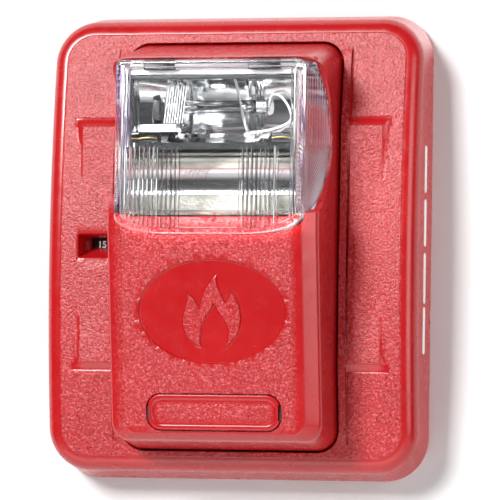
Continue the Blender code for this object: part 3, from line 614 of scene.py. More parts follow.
LOOKS = {
    "red_plastic": red_plastic(),
    "badge_plastic": moulded(
        "badge_red", (0.60, 0.012, 0.014), (0.68, 0.02, 0.022), (0.25, 0.36), 0.012, 0.9, IOR=1.52
    ),
    "clear_lens": clear("clear_polycarbonate", (0.97, 0.975, 0.985), 1.5, 0.02, True),
    "mirror_coat": metal("vapour_metal", (0.80, 0.80, 0.81), (0.90, 0.90, 0.90), (0.05, 0.14), 0.012),
    "tube_glass": clear("borosilicate", (0.97, 0.98, 0.98), 1.47, 0.01),
    "plated_steel": metal("zinc_plate", (0.50, 0.50, 0.50), (0.68, 0.68, 0.67), (0.22, 0.38)),
    "brass": metal("satin_brass", (0.62, 0.42, 0.16), (0.80, 0.60, 0.27), (0.25, 0.4)),
    "black_plastic": moulded(
        "black_moulding", (0.014, 0.014, 0.015), (0.028, 0.028, 0.03), (0.42, 0.58), 0.03
    ),
    "selector_plastic": moulded(
        "slider_black", (0.012, 0.012, 0.014), (0.022, 0.022, 0.025), (0.35, 0.5), 0.015
    ),
    "plate_plastic": moulded("plate_moulding", (0.42, 0.41, 0.39), (0.52, 0.51, 0.48), (0.45, 0.6), 0.03),
    "white_plastic": moulded("white_moulding", (0.70, 0.70, 0.67), (0.80, 0.80, 0.77), (0.4, 0.5)),
    "circuit_board": circuit_board(),
    "copper_winding": winding(),
    "ceramic": moulded("ceramic", (0.66, 0.63, 0.55), (0.80, 0.77, 0.69), (0.5, 0.7)),
    "capacitor_sleeve": moulded("sleeve", (0.01, 0.016, 0.05), (0.02, 0.03, 0.085), (0.2, 0.32), 0.01),
    "foam": foam(),
}


def wear(piece, slot, body, *nodes, look=None):
    """Gives a new piece its material, its body, and the CAD nodes that it stands for."""
    piece.data.materials.clear()
    piece.data.materials.append(look or LOOKS[slot])
    if nodes:
        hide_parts(*nodes)
    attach(piece, body)


for part in frame["record"]["subparts"]:
    materials = frame["nodes"][part["node"]].data.materials
    wanted = LOOKS[part["material_slot"]]
    for index in range(len(materials)):
        materials[index] = wanted
    if not materials:
        materials.append(wanted)


# ---------------------------------------------------------------- housing

TALL, WIDE = spread(-55.2, 55.2, 3.0), spread(-44.15, 44.15, 3.0)
PINS = [side * round(PANEL_H + g, 2) for side in (-1, 1) for g in (0.4, 0.0, -2.2, -2.6)]


def panel_slope(half, place):
    """Level of the panel's sloped edge, which meets the dome half away from the middle."""
    return PANEL_FOOT_D + (half - abs(place)) * PANEL_RISE / PANEL_RUN


def housing_d(x, z):
    """Height of the face: dome, flat panel with sloped edges, and raised strips beside the cover."""
    panel = smin(smin(panel_slope(PANEL_H, z), panel_slope(PANEL_W, x), 0.12), PANEL_D, 0.12)
    level = PANEL_D - COLLAR_FALL * max(0.0, abs(z) - PANEL_H + PANEL_RUN)
    beside = COLLAR_RISE * ease(COLLAR_W - 0.3, COLLAR_W + 0.3, abs(x))
    strip = level - beside - COLLAR_RISE * ease(56.5, 60.5, abs(z))
    return smax(smax(face_d(z), panel, 0.1), strip, 0.06)


def housing_grain(x, z):
    """0 on the smooth border, slopes and walls, 1 on the textured face."""
    ax, az = abs(x), abs(z)
    border = CORNER - math.hypot(max(ax - HALF_W + CORNER, 0.0), max(az - HALF_H + CORNER, 0.0))
    on_ends = COLLAR_W < ax < PANEL_W + 0.2 and PANEL_H - PANEL_RUN - 0.15 < az < PANEL_H + 0.2
    stands_out = min(panel_slope(PANEL_W, x), PANEL_D) - face_d(z) > 0.02
    on_sides = PANEL_W - PANEL_RUN - 0.15 < ax < PANEL_W + 0.15 and az < PANEL_H and stands_out
    on_strip = abs(ax - COLLAR_W) < 0.32 and PANEL_H - 1.5 < az < 59.0
    return 0.0 if on_ends or on_sides or on_strip else ease(4.8, 5.2, border)


def housing_outline(inset, ends=END_DRAFT):
    half_h = HALF_H - inset - ends
    return outline(HALF_W - inset, (-half_h, half_h), CORNER - inset, 14, TALL, WIDE)


def window():
    """Outlines of the selector's window: its lip, its mouth, its floor and the flange behind the floor."""
    middle, low_middle = sum(MOUTH_X) / 2, -0.67
    corner = 0.5
    tall = spread(MOUTH_Z[0] + corner, MOUTH_Z[1] - corner, 1.2)
    mouth = outline((MOUTH_X[1] - MOUTH_X[0]) / 2, MOUTH_Z, corner, 3, tall, spread(-4.9, 4.9, 1.5))
    mouth = [(x + middle, z) for x, z in mouth]
    narrowing = [(b[1] - b[0]) / (a[1] - a[0]) for a, b in ((MOUTH_X, FLOOR_X), (MOUTH_Z, FLOOR_Z))]
    floor = resized(mouth, (middle, sum(MOUTH_Z) / 2), narrowing, (sum(FLOOR_X) / 2, sum(FLOOR_Z) / 2))
    lip = resized(mouth, (middle, low_middle), (1.03, 1.05), (middle, low_middle))
    flange = resized(mouth, (middle, low_middle), (1.19, 1.42), (middle + 0.06, low_middle + 0.02))
    return lip, mouth, floor, flange


def crease_lines():
    """Lines of (x, z) along the face's folds, cut where they cross the two openings."""
    lines = [housing_outline(FILLET + DRAFT + g) for g in (0.3, 0.6, 1.5)]
    for g in (0.4, 0.0, -1.1, -2.2, -2.6):
        w, h = round(PANEL_W + g, 2), round(PANEL_H + g, 2)
        up = [(w, -h), *[(w, z) for z in spread(-h, h, 3.0, PINS)], (w, h)]
        over = [(x, h) for x in spread(-w, w, 3.0)[::-1]]
        lines.append([*up, *over, *[(-x, -z) for x, z in up], *[(-x, -z) for x, z in over]])
    for g in (-0.35, -0.15, 0.0, 0.15, 0.35):
        for side, _ in SIDES:
            x = side * (COLLAR_W + g)
            line = [(x, z) for z in spread(-61.0, 61.0, 1.5, PINS)]
            lines.append([*line, (x + side * 0.02, line[0][1])])
    reach = OPENING[0] + 0.31
    near_mouth = tuple((low - 0.35, high + 0.35) for low, high in (MOUTH_X, MOUTH_Z))
    holes = (((-reach, reach), OPENING[1]), near_mouth)
    return [stretch for line in lines for stretch in clip(line, holes)]


def clip(line, holes):
    """Stretches of a closed line outside some boxes of (x, z), each with whether it is still closed."""

    def hidden(x, z):
        return any(xs[0] < x < xs[1] and zs[0] < z < zs[1] for xs, zs in holes)

    starts = [i for i, p in enumerate(line) if hidden(*p)]
    if not starts:
        return [(line, True)]
    line = line[starts[0] :] + line[: starts[0]]
    pieces, piece = [], []
    for x, z in [*line, line[0]]:
        if hidden(x, z):
            if len(piece) > 1:
                pieces.append((piece, False))
            piece = []
        else:
            piece.append((x, z))
    return pieces


def housing():
    shell = Shell()
    rings = [in_mm(housing_outline(0.35, 0.0), RIM_D), in_mm(housing_outline(0.0, 0.0), RIM_D + 0.35)]
    for step in range(11):
        a = math.radians(9 * step)
        inset = DRAFT + FILLET * (1 - math.cos(a))
        rings.append([(x, face_d(z) - FILLET * (1 - math.sin(a)), z) for x, z in housing_outline(inset)])
    front = shell.tube(rings)
    half_w, zs, r = OPENING
    sides, tops = spread(zs[0] + r, zs[1] - r, 2.5, PINS), spread(r - half_w, half_w - r, 2.5)
    wide_lip, lip = (grown(OPENING, g, 12, sides, tops) for g in (0.3, 0.0))
    lip_drop = in_mm(lip, lambda x, z: housing_d(x, z) - 0.3)
    lip_rings = [in_mm(wide_lip, housing_d), lip_drop, in_mm(lip, under(face_d, WALL))]
    lip_ring, _, lip_back = shell.tube(lip_rings)
    mouth_lip, mouth, floor, flange = window()
    mouth_drop = in_mm(mouth, lambda x, z: housing_d(x, z) - 0.25)
    mouth_rings = [in_mm(mouth_lip, housing_d), mouth_drop, in_mm(floor, FLOOR_D), in_mm(flange, FLOOR_D)]
    mouth_ring, _, _, flange_low = shell.tube(mouth_rings)
    shell.fill(front[-1], [lip_ring, mouth_ring], crease_lines(), housing_d, 2.6, housing_grain)
    for index in lip_ring:
        shell.grain[index] = 1.0
    inner, inner_turn = (housing_outline(inset, 0.0) for inset in (WALL, WALL + DRAFT + 1.0))
    back_high = in_mm(inner, under(face_d, WALL + 1.2))
    back_rings = [front[0], in_mm(inner, RIM_D), back_high, in_mm(inner_turn, under(face_d, WALL))]
    back_turn = shell.tube(back_rings)[-1]
    flange_top = shell.tube([flange_low, in_mm(flange, under(face_d, WALL))])[-1]
    shell.fill(back_turn, [lip_back, flange_top], [], under(face_d, WALL), 5.0)
    piece = shell.make("housing_shell")
    boolean(piece, "UNION", bar("boss", (-55.6, -51.3), LOCK, 4.6))
    cuts = (bar("recess", (-60, -53.6), LOCK, 3.2, 40), bar("bore", (-60, -50), LOCK, 1.9))
    boolean(piece, "DIFFERENCE", *cuts)
    wear(finish(piece), "red_plastic", "head", "housing")


# ---------------------------------------------------------------- cover


def bezier(start, segments, steps=9):
    """Closed outline of cubic segments, each given by its two handles and its end."""
    found = []
    for handle_a, handle_b, end in segments:
        for t in (s / steps for s in range(steps)):
            u = 1 - t
            shares = (u**3, 3 * u * u * t, 3 * u * t * t, t**3)
            stops = (start, handle_a, handle_b, end)
            found.append(tuple(sum(k * p[axis] for k, p in zip(shares, stops)) for axis in (0, 1)))
        start = end
    return found


FLAME_SEGMENTS = (
    ((-7.5, -9.6), (-9.7, -5.4), (-8.8, -1.2)),
    ((-8.4, 1.4), (-7.0, 3.0), (-7.6, 5.8)),
    ((-5.4, 4.4), (-4.2, 2.6), (-3.9, 0.6)),
    ((-3.2, 4.2), (-2.0, 7.8), (1.7, 11.2)),
    ((1.4, 7.2), (3.0, 4.8), (4.3, 2.6)),
    ((5.0, 3.8), (5.6, 4.8), (5.4, 6.8)),
    ((8.4, 3.6), (9.6, -1.0), (8.3, -5.0)),
    ((7.4, -8.0), (5.6, -9.9), (3.0, -10.6)),
    ((5.2, -8.4), (5.4, -5.2), (3.6, -2.6)),
    ((2.6, -1.2), (1.4, 0.0), (0.6, 2.4)),
    ((-0.2, -0.6), (-2.6, -2.2), (-3.2, -5.0)),
    ((-3.8, -7.4), (-3.7, -9.3), (-3.0, -10.6)),
)
FLAME = np.array([(x, z + OVAL[2]) for x, z in bezier(FLAME_SEGMENTS[-1][-1], FLAME_SEGMENTS)])


def flame_reach(x, z):
    """Distance inside the flame's outline, negative outside it."""
    p = np.array((x, z))
    along = np.roll(FLAME, -1, axis=0) - FLAME
    t = np.clip(((p - FLAME) * along).sum(1) / (along * along).sum(1), 0, 1)
    distance = np.sqrt((((FLAME + along * t[:, None]) - p) ** 2).sum(1).min())
    return distance if inside(p[None], FLAME)[0] else -distance


def offset_loop(loop, by):
    """A closed loop moved sideways, inwards for a positive number."""
    ahead = np.roll(loop, -1, axis=0) - np.roll(loop, 1, axis=0)
    ahead /= np.maximum(np.linalg.norm(ahead, axis=1, keepdims=True), 1e-9)
    normal = np.stack([-ahead[:, 1], ahead[:, 0]], 1)
    x, z = loop.T
    area = 0.5 * (x * np.roll(z, -1) - np.roll(x, -1) * z).sum()
    return [tuple(p) for p in loop + normal * (by if area > 0 else -by)]


def oval_reach(x, z):
    """Distance inside the oval's rim, roughly."""
    a, b, cz = OVAL
    level = math.hypot(x / a, (z - cz) / b)
    return (1 - level) * (a * b) / max(math.hypot(x * b / a, (z - cz) * a / b), 1e-6) * max(level, 1e-3)


def near_oval(x, z):
    return abs(z - OVAL[2]) < OVAL[1] and abs(x) < OVAL[0]


def near_flame(x, z):
    return abs(x) < 11 and abs(z - OVAL[2]) < 12.5


def badge_outline(grow):
    w, h, cz = BADGE[0] + grow, BADGE[1] + grow, BADGE[2]
    return outline(w, (cz - h, cz + h), h * 0.8, 8, [cz], [2.0 * i for i in range(-7, 8)])


def cover_d(x, z):
    """Height of the cover's front: the sunken oval, and the raised flame in it."""
    level = front_d(z)
    if near_oval(x, z):
        level -= 0.6 * ease(0.0, 0.55, oval_reach(x, z))
        if near_flame(x, z):
            level += 0.45 * ease(-0.12, 0.32, flame_reach(x, z))
    return level


def cover_grain(x, z):
    if z > 53 or z < -54.8 or x > 25.3:
        return 0.0
    if near_oval(x, z) and oval_reach(x, z) > 0:
        return 0.8 if near_flame(x, z) and flame_reach(x, z) > 0.1 else 0.0
    return 1.0


def cover_ring(half_w, zs, r, depth):
    tall = [zs[0] + r + (zs[1] - zs[0] - 2 * r) * i / 40 for i in range(1, 40)]
    wide = [(r - half_w) + (2 * half_w - 2 * r) * i / 18 for i in range(1, 18)]
    return in_mm(outline(half_w, zs, r, 10, tall, wide), depth)


def cover():
    shell = Shell()
    foot, shoulder = (32.8, (-61.1, 60.1)), (32.0, (-58.8, 54.0))
    control = [
        cover_ring(*foot, 6.3, COVER_BACK_D),
        cover_ring(*foot, 6.3, under(face_d, -0.1)),
        cover_ring(*shoulder, 5.4, under(front_d, 2.4)),
        cover_ring(27.0, (-56.8, 53.2), 3.4, under(front_d)),
        cover_ring(25.9, (-56.35, 52.75), 2.6, under(front_d)),
    ]
    outer = shell.tube(rounded(control, (0.3, 1.3, 1.0), 6))
    tall, wide = spread(8.2, 50.0, 2.5), spread(-24, 24, 2.5)
    wide_hole, hole = ([(x * HOLE_NARROWING, z) for x, z in grown(HOLE, g, 6, tall, wide)] for g in (0.25, 0))
    hole_drop = in_mm(hole, under(front_d, 0.3))
    hole_rings = [in_mm(wide_hole, cover_d), hole_drop, in_mm(hole, under(front_d, COVER_WALL))]
    hole_ring, _, hole_back = shell.tube(hole_rings)
    rim, floor_drop = badge_outline(0.0), under(front_d, 1.1)
    rim_rings = [in_mm(badge_outline(0.15), cover_d), in_mm(rim, under(front_d, 0.2)), in_mm(rim, floor_drop)]
    rim_ring, _, rim_floor = shell.tube(rim_rings)
    shell.fill(rim_floor, [], [], floor_drop, 3.0)
    lines = []
    turns = [math.tau * i / 120 for i in range(120)]
    for g in (0.0, 0.14, 0.28, 0.42, 0.56):
        a, b = OVAL[0] - g, OVAL[1] - g
        lines.append(([(a * math.cos(turn), OVAL[2] + b * math.sin(turn)) for turn in turns], True))
    lines += [(offset_loop(FLAME, g), True) for g in (-0.12, 0.1, 0.32)]
    shell.fill(outer[-1], [hole_ring, rim_ring], lines, cover_d, 2.0, cover_grain)
    for index in range(outer[-1][-1] + 1):
        x, d, z = shell.points[index]
        shell.grain[index] = float(d > front_d(z) - 1.2 and x < 0 and -54.8 < z < 52.9)
    for index in rim_ring:
        shell.grain[index] = 1.0

    def thinner(half_w, zs):
        return half_w - COVER_WALL, (zs[0] + COVER_WALL, zs[1] - COVER_WALL)

    last = (26.2, (-56.6 + COVER_WALL, 53.2 - COVER_WALL / 2), 1.8)
    inner_rings = [
        outer[0],
        cover_ring(*thinner(*foot), 4.2, COVER_BACK_D),
        cover_ring(*thinner(*shoulder), 3.4, under(front_d, 2.4 + COVER_WALL)),
        cover_ring(*last, under(front_d, COVER_WALL)),
    ]
    shell.fill(shell.tube(inner_rings)[-1], [hole_back], [], under(front_d, COVER_WALL), 5.0)
    piece = shell.make("cover_shell")
    *axis, r = WING
    for side, _ in SIDES:
        liner = bar("liner", (side * 25.4, side * 30.6), axis, r + 1.8, 144)
        boolean(liner, "INTERSECT", block("liner_span", (side * 20, side * 35), (20, 41), (0, 60)))
        boolean(piece, "UNION", liner)
    boolean(piece, "DIFFERENCE", bar("scoop", (-50, 50), axis, r + 0.4, 144))
    wear(finish(piece, 28), "red_plastic", "head", "center_cover")


def nameplate():
    shell = Shell()
    edge = [(-0.3, -1.0), (-0.3, 0.1), (-0.45, 0.32), (-0.75, 0.42), (-1.5, 0.42), (-1.9, 0.2), (-2.1, -0.1)]
    made = shell.tube([in_mm(badge_outline(grow), under(front_d, -rise)) for grow, rise in edge])
    shell.fill(made[0], [], [], under(front_d, 1.0), 3.0)
    shell.fill(made[-1], [], [], under(front_d, 0.1), 1.6, lambda x, z: 1.0)
    plate = shell.make("nameplate_blank")
    reach = (BADGE[2] - 2.3, BADGE[2] + 2.3)
    boolean(plate, "DIFFERENCE", *[block("slot", (s * 19.5, s * 21), (30, 45), reach) for s, _ in SIDES])
    for side, label in SIDES:
        # These black blocks in the nameplate's side slots are painted shade.
        shadow = block(f"badge_slot_painted_shade_{label}", (side * 19.55, side * 20.25), (35.2, 36.2), reach, 0.1)
        wear(finish(shadow), "black_plastic", "head")
    wear(finish(plate), "badge_plastic", "head", "nameplate_insert", look=LOOKS["red_plastic"])


# ---------------------------------------------------------------- lens

SLAB_D, LENS_FRONT_D, LENS_WALL = 46.2, 49.6, 1.8
RIB_ROWS = ((-23.9, -9.0, 12), (9.9, 20.6, 9))


def lens_ring(inset, d, flare=True):
    """The lens's outline at height d, pulled in by inset; its sides spread towards the rear."""
    w = 27.9 - inset + (0.211 * max(0.0, LENS_FRONT_D - d) if flare else 0.0)
    low, high = 1.1 + inset, 52.3 - inset
    rx, rz, r = 16.0, 5.2, 1.6
    tall = [low + rz + (high - r - low - rz) * i / 24 for i in range(1, 24)]
    points = [
        *arc((w - rx, low + rz), (rx, rz), -90, 0, 18),
        *[(w, z) for z in tall],
        *arc((w - r, high - r), (r, r), 0, 90, 6),
        *[((w - r) * (1 - i / 12), high) for i in range(1, 24)],
        *arc((r - w, high - r), (r, r), 90, 180, 6),
        *[(-w, z) for z in tall[::-1]],
        *arc((rx - w, low + rz), (rx, rz), 180, 270, 18),
        *[((rx - w) * (1 - i / 8), low) for i in range(1, 16)],
    ]
    return in_mm(points, d)


def lens_solid(name, wall, rear, soft):
    """Closed solid of the lens's outline, rounded at its front edge."""
    shell = Shell()
    front = LENS_FRONT_D - wall
    control = [lens_ring(wall, rear), lens_ring(wall, front), lens_ring(wall + soft + 0.6, front, False)]
    made = shell.tube(rounded(control, (soft,), 7))
    shell.faces.append(tuple(made[0]))
    shell.fill(made[-1], [], [], lambda x, z: front, 4.0)
    return shell.make(name)


def lens_profile():
    """The lens from the side: a half-round wing, and a slab that runs past the lens's other edges."""
    d0, z0, r = WING
    top, bottom, ahead, half_w = 56, -2, 70.0, 45.0
    reach = math.degrees(math.acos((d0 - SLAB_D) / r))
    angles = [math.radians(reach - 2 * reach * i / 72) for i in range(73)]
    wing = [(d0 - r * math.cos(a), z0 + r * math.sin(a)) for a in angles]
    points = [(ahead, top), (wing[0][0], top), *wing, (wing[-1][0], bottom), (ahead, bottom)]
    shell = Shell()
    shell.closed_tube([[(x, d, z) for d, z in points] for x in (-half_w, half_w)])
    return shell.make("profile")


def lens():
    body = lens_solid("lens_clear", 0.0, 20.0, 1.4)
    boolean(body, "INTERSECT", lens_profile())
    core = lens_solid("lens_core", LENS_WALL, 10.0, 1.0)
    ribs = []
    for first, last, count in RIB_ROWS:
        for i in range(count):
            x = first + (last - first) * i / (count - 1)
            ribs.append(rod("rib", (x, 47.62, 2.0), (x, 47.62, 26.8), 0.63, 12))
    for x in (25.05, 26.0):
        ribs += [rod("rib", (side * x, 47.7, 2.0), (side * x, 47.7, 49.5), 0.42, 12) for side, _ in SIDES]
    boolean(core, "DIFFERENCE", merge("ribs", ribs))
    boolean(body, "DIFFERENCE", core)
    wear(finish(body, 30), "clear_lens", "head", "lens")


# ---------------------------------------------------------------- reflector and lamp

LOWER_TROUGH, UPPER_TROUGH, TROUGH_R, TROUGH_TOP = (16.0, 43.5), (38.6, 43.0), 10.3, 48.3
LEDGE_Z, LEDGE_D, NOTCH_TOP = (26.3, 28.4), 43.2, 31.6
FACET, FACETS_X, FAN_X, FAN_STEP = 1.6, 8.5, 14.0, 1.1
MIRROR_EDGE, MIRROR_TOP_D, MIRROR_BACK_D = 23.4, 43.4, 42.0
LAMP = (36.0, 39.5)


def trough(z, centre):
    return centre[1] - math.sqrt(max(TROUGH_R * TROUGH_R - (z - centre[0]) ** 2, 0.0))


def reflector_d(x, z):
    """Height of the mirror: a plain lower trough, a ledge, and a faceted upper chamber."""
    ax = abs(x)
    if z < LEDGE_Z[0]:
        return trough(z, LOWER_TROUGH)
    if z < LEDGE_Z[1]:
        return LEDGE_D
    if z < NOTCH_TOP and ax > 16.5:
        return 39.0
    if ax <= FACETS_X:
        k = math.floor((z - LEDGE_Z[1]) / FACET)
        low, high = LEDGE_Z[1] + FACET * k, LEDGE_Z[1] + FACET * (k + 1)
        a, b = trough(low, UPPER_TROUGH), trough(min(high, TROUGH_TOP), UPPER_TROUGH)
        level = a + (b - a) * ((z - low) / FACET) + 0.25 * math.cos(math.pi * x / FACETS_X)
    else:
        level = trough(min(z, TROUGH_TOP), UPPER_TROUGH)
        step = (ax - FACETS_X) / FAN_STEP
        ribbed = 0.5 * (ax - FACETS_X) + 0.55 * (step - math.floor(step))
        level += ribbed if ax < FAN_X else 2.75 + 0.28 * (ax - FAN_X)
    if NOTCH_TOP <= z < 34.2 and x < -9.0:
        level = max(level, 42.6 - 1.5 * (z - NOTCH_TOP))
    return min(level, LEDGE_D)


def reflector():
    zs = [5.9 + 20.2 * (1 - math.cos(math.pi * i / 36)) / 2 for i in range(37)]
    zs += [z + g for z in (LEDGE_Z[0], LEDGE_Z[1], NOTCH_TOP, 34.2) for g in (-0.05, 0.05)]
    zs += [LEDGE_Z[1] + FACET * k + g for k in range(1, 13) for g in (0.0, 0.8)]
    zs += [LEDGE_Z[1] + 0.1, TROUGH_TOP, 47.9, 47.4]
    zs = sorted({round(z, 3) for z in zs})
    xs = [0.0, 2.0, 4.0, 6.0, 7.5, FAN_X, 16.45, 16.55, 18.5, 20.0, 22.0, MIRROR_EDGE, 23.8, 24.4, 25.0]
    xs += [FACETS_X + FAN_STEP * (k + share) - g for k in range(5) for share, g in ((0, 0.0), (1, 0.02))]
    xs = sorted({round(s * x, 4) for x in xs for s in (-1, 1)})
    shell = Shell()
    columns = []
    for x in xs:
        lift = max(0.0, (abs(x) - MIRROR_EDGE) * 6.0)
        front = [(x, min(reflector_d(x, z) + lift, MIRROR_TOP_D), z) for z in zs]
        back = [(x, min(d - 1.2, MIRROR_BACK_D), z) for x, d, z in front]
        columns.append((shell.ring(front), shell.ring(back)))
    rows = range(len(zs) - 1)
    for (a, back_a), (b, back_b) in zip(columns, columns[1:]):
        shell.faces += [(a[j], b[j], b[j + 1], a[j + 1]) for j in rows]
        shell.faces += [(back_a[j], back_a[j + 1], back_b[j + 1], back_b[j]) for j in rows]
        shell.faces += [(a[j], back_a[j], back_b[j], b[j]) for j in (0, -1)]
    for front, back in (columns[0], columns[-1]):
        shell.faces += [(front[j], front[j + 1], back[j + 1], back[j]) for j in rows]
    wear(finish(shell.make("reflector_mirror"), 20), "mirror_coat", "head", "reflector")


def turned(name, profile):
    """Solid of revolution about the lamp's axis, from points of (radius, x)."""
    shell = Shell()
    rings = []
    for radius, x in profile:
        r = max(radius, 0.02)
        turns = [math.tau * k / 32 for k in range(32)]
        rings.append([(x, LAMP[0] + r * math.cos(a), LAMP[1] + r * math.sin(a)) for a in turns])
    shell.closed_tube(rings)
    return shell.make(name)


def lamp():
    """Hollow tube with rounded ends, its electrodes, and the leads."""
    half = [(2.0, 10.6), (1.6, 11.3), (0.9, 11.6), (0.0, 11.6)]
    half_bore = [(1.4, 9.7), (0.9, 10.3), (0.0, 10.4)]
    glass, bore = (
        turned(name, [*[(r, -x) for r, x in side[::-1]], *side])
        for name, side in (("flash_tube_glass", half), ("tube_bore", half_bore))
    )
    boolean(glass, "DIFFERENCE", bore)
    wear(finish(glass, 40), "tube_glass", "head", "flash_tube")
    for side, label in SIDES:
        stem = bar("stem", (side * 10.2, side * 7.2), LAMP, 0.35, 16)
        bead = bar("bead", (side * 8.4, side * 6.6), LAMP, 0.8, 20, 0.5)
        wear(finish(merge(f"electrode_{label}", [stem, bead]), 40), "plated_steel", "head")
    sleeve = moulded("sleeved_wire", (0.72, 0.71, 0.68), (0.84, 0.83, 0.80), (0.3, 0.42))
    right = [(15.1, 36, 39.5), (16.6, 38.0, 42.6), (19.6, 39.6, 42.2), (22.2, 39.4, 38.6)]
    right += [(22.4, 38.8, 35.0), (17.5, 39.2, 32.6), (10.5, 38.0, 31.6), (7.2, 34.5, 31.2)]
    wear(tube_along("lead_right", right, 0.36), "plated_steel", "head", "lead_wire_right", look=sleeve)
    left = [(-15.1, 36, 39.5), (-16.4, 36.6, 41.0), (-16.9, 35.6, 43.0), (-16.6, 32.5, 44.0)]
    wear(tube_along("lead_left", left, 0.4), "plated_steel", "head", "lead_wire_left")
    trigger = [(6.0, 41.2, 47.6), (6.5, 40.2, 45.2), (7.4, 39.2, 40.4)]
    trigger += [(8.3, 38.4, 35.6), (8.7, 36.0, 33.0), (8.8, 33.8, 32.4)]
    wear(tube_along("trigger_lead", trigger, 0.4), "plated_steel", "head", "trigger_wire")


def plate(name, slot, xs, ds, zs, bevel, look=None):
    """A small box with soft edges that rides with the head."""
    wear(finish(block(name, xs, ds, zs, bevel)), slot, "head", look=look)


def trims():
    """Small pieces round the reflector, which the CAD model doesn't have, among them black strips that are
    painted shadow and painted reflection.
    """
    violet = moulded("violet_latch", (0.010, 0.005, 0.009), (0.02, 0.009, 0.017), (0.25, 0.4), 0.01)
    bright = moulded("bright_lip", (0.80, 0.80, 0.81), (0.88, 0.88, 0.88), (0.2, 0.3), 0.01)
    pale = moulded("pale_bezel", (0.20, 0.20, 0.21), (0.33, 0.33, 0.34), (0.2, 0.35))
    # The cheeks and wing backings carry painted reflections as streaks in their colour.
    ribbed = painted_reflection_mirror("painted_reflection_mirror", (1.0, 1.0, 0.03), 1.0, 0.9)
    wing_painted_reflection_look = painted_reflection_mirror("wing_painted_reflection", (1.0, 0.03, 0.03), 0.25, 0.7)
    satin = metal("satin_metal", (0.16, 0.15, 0.13), (0.70, 0.67, 0.60), (0.28, 0.5), 0.5)
    plate("top_bezel", "white_plastic", (-25.2, 25.2), (40.4, 41.6), (49.85, 51.5), 0.2, pale)
    *axis, r = WING
    for s, label in SIDES:
        plate(f"cheek_{label}", "mirror_coat", (s * 25.04, s * 25.34), (27.0, 43.3), (8.0, 48.2), 0.1, ribbed)
        flange = (s * 25.7, s * 27.5)
        plate(f"flange_{label}", "mirror_coat", flange, (44.95, 45.55), (7.5, 51.0), 0.2, ribbed)
    for s, label in SIDES:
        latch = (-20.1, -10.8) if s < 0 else (11.5, 21.1)
        plate(f"latch_{label}", "black_plastic", latch, (44.9, 46.9), (49.6, 51.3), 0.25, violet)
        plate(f"slot_{label}", "black_plastic", (s * 17.2, s * 24.0), (39.05, 39.9), (28.7, 31.3), 0.2)
        wire = [(s * 17.4, 40.4, 29.9), (s * 20, 40.8, 30.1), (s * 23.8, 40.4, 29.8)]
        wear(tube_along(f"slot_wire_{label}", wire, 0.28), "brass", "head")
    for s, label in SIDES:
        backing = bar(f"wing_backing_{label}", (s * 25.9, s * 30.3), axis, r + 0.33, 144)
        boolean(backing, "DIFFERENCE", bar("arc_bore", (-40, 40), axis, r + 0.09, 144))
        boolean(backing, "INTERSECT", block("arc_span", (s * 20, s * 35), (20, 40.8), (4, 56)))
        wear(finish(backing), "mirror_coat", "head", look=wing_painted_reflection_look)
    plate("post", "black_plastic", (-19.2, -17.0), (37.4, 39.4), (35.4, 41.4), 0.3)
    plate("ledge", "white_plastic", (-23.2, -11.4), (40.4, 42.0), (32.0, 34.0), 0.7, bright)
    lines = [-15.3 + 0.78 * i for i in range(8)]
    fins = [rod("fin", (x, 40.6, 34.3), (x + 0.9, 39.2, 45.6), 0.17, 10) for x in lines]
    wear(finish(merge("mirror_fins", fins)), "mirror_coat", "head", look=bright)
    # This black rod along the mirror's left edge is a painted shadow line.
    painted_shadow_line = [(-24.5, 43.9, 47.0), (-24.0, 43.8, 42.0), (-23.5, 43.7, 37.0), (-23.1, 43.6, 33.2)]
    wear(tube_along("mirror_edge_painted_shadow", painted_shadow_line, 0.4), "black_plastic", "head")
    # This black strip under the top lip is a painted dark reflection line.
    plate("lip_painted_dark_reflection", "black_plastic", (-24.3, 24.6), (43.5, 44.3), (46.9, 48.1), 0.15)
    plate("top_lip", "mirror_coat", (-24.6, 24.8), (42.2, 44.3), (48.35, 49.6), 0.2, bright)
    rows = [(41.2, 6.7), (42.6, 7.2), (42.8, 7.9), (42.2, 8.4), (38.4, 8.9), (37.4, 11.0), (36.6, 13.2)]
    rows += [(36.0, 13.6), (34.6, 13.0), (36.0, 8.0), (40.2, 6.4)]
    sill = Shell()
    sill.closed_tube([[(24.0 * i / 40, d, z) for d, z in rows] for i in range(-40, 41)])
    wear(finish(sill.make("reflector_sill"), 25), "mirror_coat", "head", look=satin)


# ---------------------------------------------------------------- numbers and side marks

DIGITS = (("15", 0.2), ("30", -4.8), ("75", -9.8), ("110", -14.8))
DIGIT_X, DIGIT_D, DIGIT_SIZE = -41.8, 12.32, 2.8
MARKS, MARK_D, MARK_HALF_W = ((16, 30), (0, 14), (-17, -2), (-32, -18)), 9.6, 1.5


def digits():
    """White numbers printed on the selector slider, each with its own piece of film, with a faint painted
    glow that brightens them in the window's shade.
    """
    # The faint emission is painted light that brightens the numbers in the window's dim cavity.
    painted_glow = {"Emission_Strength": 0.3, "Emission_Color": (1.0, 1.0, 1.0)}
    ink = moulded("white_ink", (0.86, 0.86, 0.85), (0.93, 0.93, 0.92), (0.4, 0.55), 0.01, **painted_glow)
    for value, z in DIGITS:
        curve = bpy.data.curves.new("number_" + value, "FONT")
        curve.body = value
        curve.size = DIGIT_SIZE * MM
        curve.extrude = 0.02 * MM
        curve.offset = 0.06 * MM
        curve.align_x, curve.align_y = "CENTER", "CENTER"
        guide = link("guide", curve)
        bpy.context.view_layer.update()
        mesh = bpy.data.meshes.new_from_object(guide.evaluated_get(bpy.context.evaluated_depsgraph_get()))
        bpy.data.objects.remove(guide)
        stand = Matrix.Rotation(math.radians(90), 4, "X")
        mesh.transform(Matrix.Translation(at(DIGIT_X, DIGIT_D, z)) @ stand)
        wear(link("number_" + value, mesh), "selector_plastic", "candela", look=ink)


